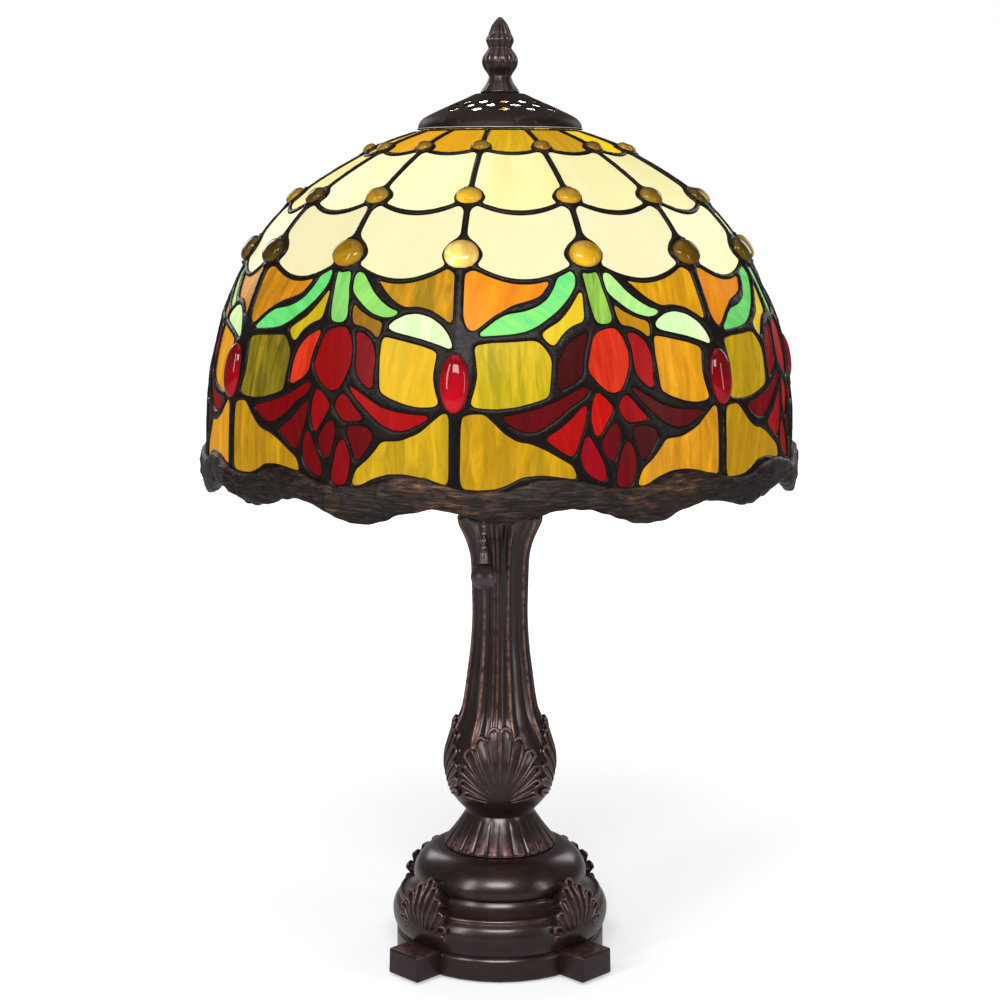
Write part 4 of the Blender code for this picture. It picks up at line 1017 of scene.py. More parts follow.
def build_glass():
    rng = np.random.RandomState(12)
    store = {k: ([], [], [], [], []) for k in GROUPS}
    for name, tone, poly in TILES:
        loop = offset(resample(poly, 1.7), 0.5)
        lo, hi = loop.min(0), loop.max(0)
        gx, gy = np.meshgrid(np.arange(lo[0] + 1.6, hi[0], 3.6), np.arange(lo[1] + 1.6, hi[1], 3.6))
        grid = np.stack([gx.ravel(), gy.ravel()], -1)
        small = offset(loop, -1.3)
        grid = grid[inside(grid, small)] if len(grid) else grid
        pts = [tuple(map(float, p)) for p in loop] + [tuple(map(float, p)) for p in grid]
        n_loop = len(loop)
        co, _, tris, *_ = delaunay_2d_cdt([Vector(p) for p in pts], [(i, (i + 1) % n_loop) for i in range(n_loop)],
                                          [], 0, 1e-4, True)
        co = np.array([tuple(v) for v in co])
        tris = np.array([t for t in tris if len(t) == 3])
        tris = tris[inside(co[tris].mean(1), loop)]
        a2, b2 = co[tris[:, 1]] - co[tris[:, 0]], co[tris[:, 2]] - co[tris[:, 0]]
        flip = (a2[:, 0] * b2[:, 1] - a2[:, 1] * b2[:, 0]) > 0
        tris = np.where(flip[:, None], tris[:, ::-1], tris)
        count = {}
        for a, b, c in tris:
            for e in ((a, b), (b, c), (c, a)):
                count[frozenset(map(int, e))] = count.get(frozenset(map(int, e)), 0) + 1
        rim = [(int(p), int(q)) for t in tris for p, q in ((t[0], t[1]), (t[1], t[2]), (t[2], t[0]))
               if count[frozenset((int(p), int(q)))] == 1]
        n = len(co)
        key = group_of(tone)
        V, F, T1, T2, G = store[key]
        long_way = math.radians(rng.uniform(-14, 14))
        if tone in ("green", "lime") and name.startswith("leaf"):
            long_way = math.radians(90 if name == "leaf_left" else -60) * 0.6
        for m in range(MODULES):
            base = len(V)
            u, s = co[:, 0] / PLANE + 2 * m, co[:, 1]
            V.extend(dome(u, s, 0.0).tolist())
            V.extend(dome(u, s, -GLASS).tolist())
            F.extend(tuple(base + int(i) for i in t) for t in tris)
            F.extend(tuple(base + n + int(i) for i in t[::-1]) for t in tris)
            F.extend((base + q, base + p, base + n + p, base + n + q) for p, q in rim)
            pair = TONES[tone][rng.randint(len(TONES[tone]))]
            k = rng.uniform(0.90, 1.04)
            if m in PICKED and name in PICKED[m]:
                pair, k = PICKED[m][name], 1.0
            light, dark = np.array(SRGB(pair[0])), np.array(SRGB(pair[1]))
            # brighter where the bulb stands close behind the glass
            z = dome(u, s)[:, 2]
            near = 0.96 + 0.07 * np.exp(-((z - 368.0) / 46.0) ** 2)
            both = np.r_[near, near][:, None]
            T1.append(np.clip(light * k * both, 0, 1))
            T2.append(np.clip(dark * k * both, 0, 1))
            ang = long_way + math.radians(rng.uniform(-8, 8))
            x, y = co[:, 0], co[:, 1]
            along = (x * math.sin(ang) + y * math.cos(ang)) / 26.0
            across = (x * math.cos(ang) - y * math.sin(ang)) / (5.0 if key != "petal" else 3.6)
            if key.startswith("cream"):
                along, across = along * 0.6, across * 0.22
            seed = rng.uniform(0, 90)
            g = np.stack([across + seed, along + seed * 0.37, np.full(n, seed * 1.7)], -1)
            G.append(np.vstack([g, g]))
    made = []
    for key, (V, F, T1, T2, G) in store.items():
        name, mat, slot, reps = GROUPS[key]
        o = new_mesh(name, V, F, mat, "shade", reps, True, 35)
        color_attribute(o, "tint_with_painted_light", np.vstack(T1))
        color_attribute(o, "tint2_with_painted_light", np.vstack(T2))
        vector_attribute(o, "grain", np.vstack(G))
        made.append(o)
    return made


def build_jewels():
    rng = np.random.RandomState(5)

    def cabochon(th_u, s, w, h, height, sides=40, rings=10):
        c = dome(np.array(float(th_u)), np.array(float(s)), 1.05)
        n = dome(np.array(float(th_u)), np.array(float(s)), 2.05) - c
        th = TULIP_AT + th_u * STEP
        across = np.array([math.cos(th), math.sin(th), 0.0])
        down = np.cross(n, across)
        verts, faces = [], []
        prof = [(1.0, -1.4), (1.0, 0.0)]
        for k in range(1, rings):
            a = (math.pi / 2) * k / rings
            prof.append((math.cos(a) ** 0.86, height * math.sin(a)))
        for f, hh in prof:
            for i in range(sides):
                a = TAU * i / sides
                verts.append(c + across * w * f * math.cos(a) + down * h * f * math.sin(a) + n * hh)
        for k in range(len(prof) - 1):
            for i in range(sides):
                j = (i + 1) % sides
                faces.append((k * sides + i, k * sides + j, (k + 1) * sides + j, (k + 1) * sides + i))
        verts.append(c + n * height)
        top = len(verts) - 1
        k = len(prof) - 1
        for i in range(sides):
            faces.append((k * sides + i, k * sides + (i + 1) % sides, top))
        faces.append(tuple(range(sides))[::-1])
        return verts, faces

    for row in range(3):
        parts, painted_light_tints = [], []
        r = JEWEL_R[row]
        for c in range(14):
            v, f = cabochon(c, S_ROW[row], r * rng.uniform(0.97, 1.04), r * rng.uniform(0.86, 0.93), 2.5 + 0.45 * row,
                            36, 9)
            parts.append((v, f))
            # the light gathers low in a domed jewel and fades to its upper edge
            local = np.array([np.asarray(q, float) for q in v])
            mid = local.mean(0)
            th = TULIP_AT + c * STEP
            right = (local - mid) @ np.array([math.cos(th), math.sin(th), 0.0]) / r
            low = -(local - mid)[:, 2] / r
            pool = np.clip(0.92 + 0.30 * low - 0.26 * right, 0.45, 1.25)[:, None]
            # Painted light: how brightly the bulb behind shows through each jewel, with the jewel in front of it
            # painted a near-white hot spot.
            lit = rng.choice([0.40, 0.55, 0.75, 0.95]) * (0.75, 0.85, 0.85)[row]
            lit = {(2, 13): 1.9, (2, 0): 0.92, (2, 12): 0.58, (2, 1): 0.20, (2, 11): 0.12, (2, 2): 0.12, (2, 10): 0.2,
                   (1, 13): 1.1, (1, 0): 0.72, (1, 12): 0.62, (1, 1): 0.30, (1, 2): 0.12, (1, 11): 0.15,
                   (0, 13): 0.45, (0, 0): 0.40, (0, 1): 0.25, (0, 12): 0.5}.get((row, c), lit)
            painted_light_tints.append(pool * np.array([[1.6, 2.2, 20.0]] if lit > 1.5 else [[lit, lit * 1.05, lit]]))
        v, f = merge(parts)
        o = new_mesh("amber_jewels_%d" % (row + 1), v, f, AMBER_JEWEL, "shade",
                     ("amber_jewels_row_%d" % (row + 1),), True, 60)
        color_attribute(o, "tint_with_painted_light", np.vstack(painted_light_tints))
        recalc(o)
    parts, painted_light_tints = [], []
    for c in range(7):
        v, f = cabochon(2 * c + 1, S_RUBY, RUBY_W, RUBY_H, 4.2, 48, 11)
        parts.append((v, f))
        # Painted light, as in the amber jewels: each ruby lit by its own amount and brighter towards its lower edge.
        k = {6: 1.05, 0: 0.55}.get(c, rng.uniform(0.5, 1.0))
        local = np.array([np.asarray(q, float) for q in v])
        low = -(local - local.mean(0))[:, 2] / RUBY_H
        painted_light_tints.append(np.clip(1.0 + 0.45 * low, 0.5, 1.5)[:, None] * np.full((len(v), 3), k))
    v, f = merge(parts)
    o = new_mesh("ruby_cabochons", v, f, RUBY_JEWEL, "shade", ("ruby_jewels",), True, 60)
    color_attribute(o, "tint_with_painted_light", np.vstack(painted_light_tints))
    recalc(o)


def build_rim():
    """The cast border: a gnarled branch, thick and bulging, that follows the CAD's lobes."""
    around, section = 980, 22
    verts, grain, rub = [], [], []
    for i in range(around):
        u = 14.0 * i / around
        top = float(rim_top(u)) - 0.9
        bottom = float(rim_bottom(u)) - 0.3
        circ = u * PLANE
        swell = 0.5 + 0.5 * noise.noise(Vector((math.cos(u * STEP) * 3.1, math.sin(u * STEP) * 3.1, 4.0)))
        cx, cy = math.cos(u * STEP) * 152, math.sin(u * STEP) * 152
        knots = noise.noise(Vector((cx / 15, cy / 15, 0.7)))
        top += 0.9 * noise.noise(Vector((cx / 7, cy / 7, 2.2)))
        bottom += 1.1 * noise.noise(Vector((cx / 6, cy / 6, 8.2)))
        mid, half = (top + bottom) / 2, (bottom - top) / 2
        for k in range(section):
            a = TAU * k / section
            ca, sa = math.cos(a), math.sin(a)
            ss = mid - half * math.copysign(abs(ca) ** 0.72, ca)
            if sa >= 0:
                off = 0.7 + (2.5 + 1.0 * swell + 0.9 * knots) * abs(sa) ** 0.7
                ridge = fbm(cx / 22 + 5, cy / 22, ss / 1.9, 4)
                off += 0.85 * ridge * min(1.0, abs(sa) * 1.6)
            else:
                ridge = 0.0
                off = 0.7 - 4.4 * abs(sa) ** 0.7
            p = dome(np.array(u), np.array(ss), off)
            verts.append(tuple(p))
            grain.append((cx / 9.0, cy / 9.0, ss / 1.25))
            rub.append(float(np.clip(0.55 + ridge * 1.2, 0, 1)) if sa > -0.2 else 0.0)
    faces = []
    for i in range(around):
        j = (i + 1) % around
        for k in range(section):
            m = (k + 1) % section
            faces.append((i * section + k, i * section + m, j * section + m, j * section + k))
    o = new_mesh("rim_branch_border", verts, faces, BARK, "shade", ("rim_border",))
    vector_attribute(o, "grain", grain)
    float_attribute(o, "rub", rub)
    recalc(o)
    return o


# ------------------------------------------------------------------ cast metal
def fan(X, Y, ribs, root=(0.0, 3.0), rise=1.5):
    """Height and rub of a shell: ribs from a root to rounded, curled tips. Each rib is (x, y, half width)."""
    H = np.zeros_like(X)
    W = np.zeros_like(X)
    for tx, ty, w in ribs:
        dx, dy = tx - root[0], ty - root[1]
        L = math.hypot(dx, dy)
        ex, ey = dx / L, dy / L
        t = ((X - root[0]) * ex + (Y - root[1]) * ey) / L
        across = (X - root[0]) * (-ey) + (Y - root[1]) * ex
        tt = np.clip(t, 0, 1)
        width = w * (0.18 + 0.82 * tt**1.1)
        tc = 1 - w / L
        beyond = t > tc
        dist = np.where(beyond, np.hypot((t - tc) * L, across) / w, np.abs(across) / width)
        ridge = np.exp(-((dist - 0.84) / 0.19) ** 2)
        body = smoothstep(1.2, 0.95, dist) * (0.42 - 0.30 * smoothstep(0.7, 0.0, dist))
        grow = smoothstep(-0.02, 0.2, t)
        curl = np.exp(-(((t - tc) * L - w * 0.55) / (w * 0.75)) ** 2) * smoothstep(1.35, 0.8, dist) * 0.65
        h = (body + 0.60 * ridge + curl) * grow * (0.30 + 0.70 * tt) * rise
        H = np.maximum(H, h)
        W = np.maximum(W, (0.75 * ridge + curl) * grow * tt)
    return H, W


def carve(name, surfaces, ribs, root, half, span, thick, deep, replaces):
    """A cast scallop shell: rounded fingers with raised, rolled edges, on a low bed. One for each surface."""
    parts, rubs = [], []
    xs = np.arange(-half, half + 0.01, 0.5)
    ys = np.arange(span[0], span[1] + 0.01, 0.5)
    X, Y = np.meshgrid(xs, ys)
    bed = np.full_like(X, -deep)
    for tx, ty, w in ribs:
        dx, dy = tx - root[0], ty - root[1]
        L = math.hypot(dx, dy)
        ex, ey = dx / L, dy / L
        t = ((X - root[0]) * ex + (Y - root[1]) * ey) / L
        across = (X - root[0]) * (-ey) + (Y - root[1]) * ex
        tt = np.clip(t, 0, 1)
        width = w * (0.16 + 0.84 * tt**1.05)
        tc = 1 - w / L
        dist = np.where(t > tc, np.hypot((t - tc) * L, across) / w, np.abs(across) / width)
        h = 0.25 + 0.45 * np.clip(dist, 0, 1) ** 2 * tt - 1.4 * smoothstep(0.34, 0.14, t)
        h = h - (deep + 0.4) * smoothstep(1.02, 1.75, dist) - deep * smoothstep(0.0, -0.1, t)
        bed = np.maximum(bed, h)
    soft = bed.copy()
    for _ in range(2):
        pad = np.pad(soft, 1, mode="edge")
        soft = (pad[1:-1, 1:-1] * 4 + pad[:-2, 1:-1] + pad[2:, 1:-1] + pad[1:-1, :-2] + pad[1:-1, 2:]) / 8
    ny, nx = X.shape
    for surface in surfaces:
        top = surface(X.ravel(), Y.ravel(), soft.ravel())
        low = surface(X.ravel(), Y.ravel(), np.full(X.size, -deep - 0.8))
        v = np.vstack([top, low])
        f = []
        n = nx * ny
        for j in range(ny - 1):
            for i in range(nx - 1):
                a, b, c, d = j * nx + i, j * nx + i + 1, (j + 1) * nx + i + 1, (j + 1) * nx + i
                f.append((a, b, c, d))
                f.append((n + d, n + c, n + b, n + a))
        ring = [i for i in range(nx)] + [j * nx + nx - 1 for j in range(1, ny)]
        ring += [(ny - 1) * nx + i for i in range(nx - 2, -1, -1)] + [j * nx for j in range(ny - 2, 0, -1)]
        for a, b in zip(ring, ring[1:] + ring[:1]):
            f.append((b, a, n + a, n + b))
        parts.append((v.tolist(), f))
        rubs.append(np.zeros(len(v)))
        for tx, ty, w in ribs:
            dx, dy = tx - root[0], ty - root[1]
            L = math.hypot(dx, dy)
            ex, ey = dx / L, dy / L
            tc = 1 - w / L
            line = []
            for t in np.linspace(0.24, tc, 22):
                width = w * (0.16 + 0.84 * t**1.05) * 0.90
                line.append((t * L, -width, t))
            for a in np.linspace(-math.pi / 2, math.pi / 2, 13)[1:-1]:
                line.append((tc * L + w * 0.90 * math.cos(a), w * 0.90 * math.sin(a), 1.0))
            for t in np.linspace(tc, 0.24, 22):
                width = w * (0.16 + 0.84 * t**1.05) * 0.90
                line.append((t * L, width, t))
            line = np.array(line)
            x = root[0] + line[:, 0] * ex - line[:, 1] * ey
            y = root[1] + line[:, 0] * ey + line[:, 1] * ex
            curl = np.exp(-((line[:, 0] - (L - w * 0.5)) / (w * 0.8)) ** 2)
            off = 0.10 + 0.50 * line[:, 2] + 0.75 * curl - 0.9 * smoothstep(0.42, 0.24, line[:, 2])
            rad = thick * (0.42 + 0.46 * line[:, 2] + 0.22 * curl)
            mid = surface(x, y, off)
            up = surface(x, y, off + 1.0) - mid
            along = np.gradient(mid, axis=0)
            along /= np.linalg.norm(along, axis=1, keepdims=True)
            side = np.cross(along, up)
            side /= np.linalg.norm(side, axis=1, keepdims=True)
            sides = 10
            v, f, q = [], [], []
            for i in range(len(mid)):
                for k in range(sides):
                    a = TAU * k / sides
                    v.append((mid[i] + rad[i] * (math.cos(a) * side[i] + math.sin(a) * up[i])).tolist())
                    q.append(0.42 * max(0.0, math.sin(a)) * (0.25 + 0.75 * line[i, 2] ** 2))
            for i in range(len(mid) - 1):
                for k in range(sides):
                    m = (k + 1) % sides
                    f.append((i * sides + k, i * sides + m, (i + 1) * sides + m, (i + 1) * sides + k))
            f.append(tuple(range(sides))[::-1])
            f.append(tuple((len(mid) - 1) * sides + k for k in range(sides)))
            parts.append((v, f))
            rubs.append(np.array(q))
    v, f = merge(parts)
    o = new_mesh(name, v, f, BRONZE, "stand", replaces)
    float_attribute(o, "rub", np.concatenate(rubs))
    recalc(o)
    return o


COLUMN_PROFILE = [(29.6, 51.0), (29.6, 51.0), (29.5, 52.4), (28.7, 53.6), (25.5, 58.0), (22.2, 62.6), (19.5, 66.8),
                  (18.3, 69.0), (18.3, 69.0), (19.6, 71.2), (22.0, 73.8), (24.6, 76.9), (27.0, 81.0), (28.6, 85.6),
                  (29.4, 90.4), (29.7, 95.4), (29.1, 101.6), (27.4, 107.4), (24.6, 115.4), (22.0, 120.8),
                  (20.2, 125.6), (18.6, 134.0), (16.9, 146.8), (15.5, 158.0), (14.7, 168.6), (14.4, 178.0),
                  (14.5, 186.0), (14.8, 198.0), (15.2, 207.0), (15.9, 212.0), (17.1, 216.6), (18.8, 220.8),
                  (20.7, 224.8), (21.9, 227.8), (22.1, 229.2), (21.5, 230.6), (20.0, 231.4), (18.0, 231.4),
                  (16.6, 230.2), (16.6, 230.2), (5.3, 230.2), (5.3, 230.2), (5.3, 140.0), (5.3, 51.0), (5.3, 51.0),
                  (29.6, 51.0)]


def build_column():
    segs = 480
    prof = catmull(COLUMN_PROFILE, 9)
    d = np.r_[True, np.hypot(*np.diff(prof, axis=0).T) > 1e-4]
    prof = prof[d][:-1]
    # finer along the outer face
    dense = []
    for a, b in zip(prof, np.roll(prof, -1, 0)):
        fine = 0.55 if 72 < a[1] < 121 and a[0] > 8 else 1.3
        n = max(1, int(np.hypot(*(b - a)) / (fine if min(a[0], b[0]) > 8 else 30)))
        dense += [a + (b - a) * k / n for k in range(n)]
    prof = np.array(dense)
    keep = {}

    def shape(phi, R, Z):
        turn = math.radians(8.5)
        qs = np.mod(phi + turn + math.pi / 4, math.pi / 2) - math.pi / 4  # the shaft's mouldings, a quarter at a time
        q = np.mod(phi + math.pi / 4, math.pi / 2) - math.pi / 4         # the shells on the bulb
        outer = (R > 8.0)
        deg = np.degrees(qs)
        shaft = smoothstep(104.0, 119.0, Z) * smoothstep(231.2, 226.0, Z) * outer
        wander = 1.3 * np.sin(Z * 0.045 + 1.0)
        ridges = (np.exp(-((deg - 3.4 - wander * 0.3) / 1.7) ** 2) * 0.50
                  + np.exp(-((deg + 3.4 - wander * 0.3) / 1.7) ** 2) * 0.50
                  + np.exp(-((np.abs(deg) - 10.5) / 1.5) ** 2) * 0.22
                  + np.exp(-((np.abs(deg) - 25.5 + wander * 0.4) / 1.9) ** 2) * 1.0)
        hollow = -0.95 * smoothstep(26.0, 36.0, np.abs(deg))
        hollow = hollow - 0.55 * np.exp(-((np.abs(deg) - 17.5) / 4.6) ** 2)
        flare = 1.0 + 0.7 * smoothstep(204.0, 220.0, Z)
        d1 = (ridges + hollow) * shaft * flare
        lobes = 0.5 * np.cos(phi * 16) * smoothstep(214.0, 225.0, Z) * smoothstep(231.2, 228.0, Z) * outer
        X = q * 29.0
        Y = Z - 76.0
        ribs = []
        for s in (-1, 1):
            ribs += [(s * 4.6, 42.5, 3.5), (s * 12.6, 37.0, 3.3), (s * 18.8, 28.8, 2.9), (s * 22.0, 20.2, 2.5),
                     (s * 22.6, 12.0, 2.1)]
        H = W = np.zeros_like(X)
        on = outer
        # the gadrooned skirt
        k = 24
        g = np.abs(np.sin(phi * k / 2))
        skirt = smoothstep(68.6, 64.0, Z) * outer * (Z > 51.05)
        low = smoothstep(62.0, 53.0, Z)
        d3 = (1.25 * (g ** 0.55) - 0.85) * skirt * (0.35 + 0.8 * low)
        rub3 = (g > 0.6) * skirt * low
        grow = d1 + lobes + H * 1.0 + d3
        # stays inside the cast envelope
        keep["rub"] = np.clip(np.exp(-((np.abs(deg) - 25.5 + wander * 0.4) / 2.1) ** 2) * shaft * 1.5
                              + np.exp(-((np.abs(deg) - 3.4) / 1.0) ** 2) * shaft * 0.6 + W * 0.75 * on
                              + rub3 * 0.45
                              + np.clip(np.cos(phi * 16), 0, 1) * smoothstep(218.0, 226.0, Z) * outer * 0.2, 0, 1)
        return R + grow, Z

    v, f, (R, Z, index) = lathe(prof, segs, shape)
    o = new_mesh("cast_column", v, f, BRONZE, "stand", ("column",))
    float_attribute(o, "rub", keep["rub"].ravel())
    recalc(o)

    swell = np.array([q for q in catmull(COLUMN_PROFILE[7:24], 9)])
    order = np.argsort(swell[:, 1])
    swell = swell[order]

    def on_bulb(k):
        def surface(x, y, off):
            z = 76.0 + y
            r = np.interp(z, swell[:, 1], swell[:, 0])
            slope = (np.interp(z + 1.0, swell[:, 1], swell[:, 0]) - np.interp(z - 1.0, swell[:, 1], swell[:, 0])) / 2.0
            n = np.hypot(1.0, slope)
            a = x / 29.0 + k * math.pi / 2
            rr, zz = r + off / n, z - slope * off / n
            return np.stack([rr * np.sin(a), -rr * np.cos(a), zz], -1)
        return surface

    ribs = []
    for s in (-1, 1):
        ribs += [(s * 3.9, 43.5, 3.5), (s * 12.2, 38.6, 3.5), (s * 18.4, 31.2, 3.0), (s * 21.2, 22.8, 2.6),
                 (s * 21.8, 15.0, 2.2), (s * 20.4, 8.2, 1.8)]
    carve("bulb_shells", [on_bulb(k) for k in range(4)], ribs, (0.0, 3.0), 25.5, (2.0, 48.5), 0.98, 1.6,
          ("column",))
    return o


BASE_PROFILE = [(50.2, 1.5), (50.2, 1.5), (55.6, 1.5), (55.6, 1.5), (56.0, 2.0), (56.0, 2.0), (56.0, 12.0), (56.0, 12.0),
                (55.3, 13.0), (54.6, 13.4), (55.4, 14.4), (57.0, 17.2), (58.0, 21.4), (57.9, 25.4), (56.6, 29.0),
                (54.8, 31.2), (54.8, 31.2), (54.5, 31.6), (54.6, 32.7), (53.9, 33.7), (52.9, 33.9), (52.2, 33.4),
                (52.2, 33.4), (50.4, 34.2), (48.4, 35.6), (46.4, 37.6), (45.3, 39.3), (45.3, 39.3), (44.8, 40.0),
                (44.8, 40.0), (46.0, 41.0), (46.6, 43.0), (46.2, 46.4), (44.6, 50.0), (41.8, 53.6), (38.0, 56.6),
                (34.0, 58.4), (31.0, 58.9), (31.0, 58.9), (5.4, 58.9), (5.4, 58.9), (5.4, 53.0), (5.4, 53.0),
                (29.5, 52.9), (36.6, 49.4), (38.6, 42.0), (46.0, 31.0), (50.2, 24.0), (50.2, 24.0), (50.2, 1.5)]


def build_base():
    segs = 448
    prof = catmull(BASE_PROFILE, 7)
    d = np.r_[True, np.hypot(*np.diff(prof, axis=0).T) > 1e-4]
    prof = prof[d][:-1]
    outer_until = 0
    dense, flag = [], []
    for i, (a, b) in enumerate(zip(prof, np.roll(prof, -1, 0))):
        inner = a[0] < 30.9 or (i > len(prof) * 0.72 and a[1] < 53.0) or (a[0] <= 50.21 and a[1] < 30)
        n = max(1, int(np.hypot(*(b - a)) / (0.75 if not inner else 40)))
        for k in range(n):
            dense.append(a + (b - a) * k / n)
            flag.append(0.0 if inner else 1.0)
    prof, flag = np.array(dense), np.array(flag)
    arc = np.r_[0, np.cumsum(np.hypot(*np.diff(prof, axis=0).T))]
    start = arc[np.argmin(np.hypot(prof[:, 0] - 56.0, prof[:, 1] - 12.0) + (flag < 0.5) * 99)]
    keep = {}
    tang = np.roll(prof, -1, 0) - np.roll(prof, 1, 0)
    tang /= np.maximum(np.linalg.norm(tang, axis=1, keepdims=True), 1e-9)
    nr, nz = tang[:, 1], -tang[:, 0]

    def shape(phi, R, Z):
        q = np.mod(phi, math.pi / 2) - math.pi / 4            # shells stand on the diagonals, over the feet
        X = q * 52.0
        Y = np.repeat((arc - start)[:, None], R.shape[1], 1)
        H = np.zeros_like(X)
        rub = 0.0
        lip = np.exp(-((Y - 22.6) / 1.0) ** 2) * 0.2 * (flag[:, None] > 0.5)
        keep["rub"] = np.clip(rub + lip, 0, 1)
        return R + nr[:, None] * H, Z + nz[:, None] * H

    v, f, _ = lathe(prof, segs, shape)
    rub = keep["rub"].ravel()
    # the four blocks it stands on
    bm = bmesh.new()
    for k in range(4):
        made = bmesh.ops.create_cube(bm, size=1.0)["verts"]
        bmesh.ops.scale(bm, verts=made, vec=(19.4 * MM, 22.2 * MM, 13.7 * MM))
        bmesh.ops.translate(bm, verts=made, vec=((52.4 + 9.7) * MM, 0, 8.3 * MM))
        top_out = [w for w in made if w.co.z > 8.25 * MM]
        for w in top_out:
            w.co.y *= 0.985
            w.co.x = 52.4 * MM + (w.co.x - 52.4 * MM) * 0.985
        bmesh.ops.rotate(bm, verts=made, cent=(0, 0, 0), matrix=Matrix.Rotation(math.radians(45 + 90 * k), 3, "Z"))
    bmesh.ops.bevel(bm, geom=list(bm.edges) + list(bm.verts), offset=1.25 * MM, segments=4, profile=0.55,
                    affect="EDGES")
    bm.verts.ensure_lookup_table()
    base = len(v)
    v = list(v) + [tuple(w.co / MM) for w in bm.verts]
    f = list(f) + [tuple(base + w.index for w in face.verts) for face in bm.faces]
    extra = []
    for w in bm.verts:
        c = w.co / MM
        edge = 1.0 if abs(math.hypot(c.x, c.y) - 70.2) < 1.2 and c.z > 14.1 else 0.0
        extra.append(edge * 0.35)
    bm.free()
    o = new_mesh("cast_base", v, f, BRONZE, "stand", ("base_casting",), True, 50)
    float_attribute(o, "rub", np.r_[rub, extra])
    recalc(o)

    # the shells over the feet ride across the ledge of the base
    env = catmull([(56.0, 2.6), (56.0, 2.6), (56.0, 12.6), (56.0, 12.6), (56.4, 14.2), (57.7, 17.6), (58.5, 21.6), (58.4, 25.6), (57.6, 29.2), (56.2, 32.4),
                   (54.2, 35.2), (51.8, 37.6), (49.6, 40.2), (48.2, 43.2), (47.4, 46.4), (46.0, 50.0)], 12)
    run = np.r_[0, np.cumsum(np.hypot(*np.diff(env, axis=0).T))]
    once = np.r_[True, np.diff(run) > 1e-6]
    env, run = env[once], run[once] - 10.0

    def on_base(k):
        def surface(x, y, off):
            r, z = np.interp(y, run, env[:, 0]), np.interp(y, run, env[:, 1])
            tr = np.interp(y + 0.8, run, env[:, 0]) - np.interp(y - 0.8, run, env[:, 0])
            tz = np.interp(y + 0.8, run, env[:, 1]) - np.interp(y - 0.8, run, env[:, 1])
            n = np.maximum(np.hypot(tr, tz), 1e-6)
            a = x / 54.0 + math.pi / 4 + k * math.pi / 2
            rr, zz = r + off * tz / n, z - off * tr / n
            return np.stack([rr * np.sin(a), -rr * np.cos(a), zz], -1)
        return surface

    ribs = [(0.0, 32.0, 2.4)]
    for s in (-1, 1):
        ribs += [(s * 5.3, 27.4, 2.4), (s * 9.8, 22.0, 2.4), (s * 13.2, 15.6, 2.3), (s * 15.0, 8.8, 2.2),
                 (s * 14.2, 2.8, 1.9)]
    carve("foot_shells", [on_base(k) for k in range(4)], ribs, (0.0, -7.0), 18.0, (0.2, 35.0), 0.86, 12.0,
          ("base_casting",))
    return o


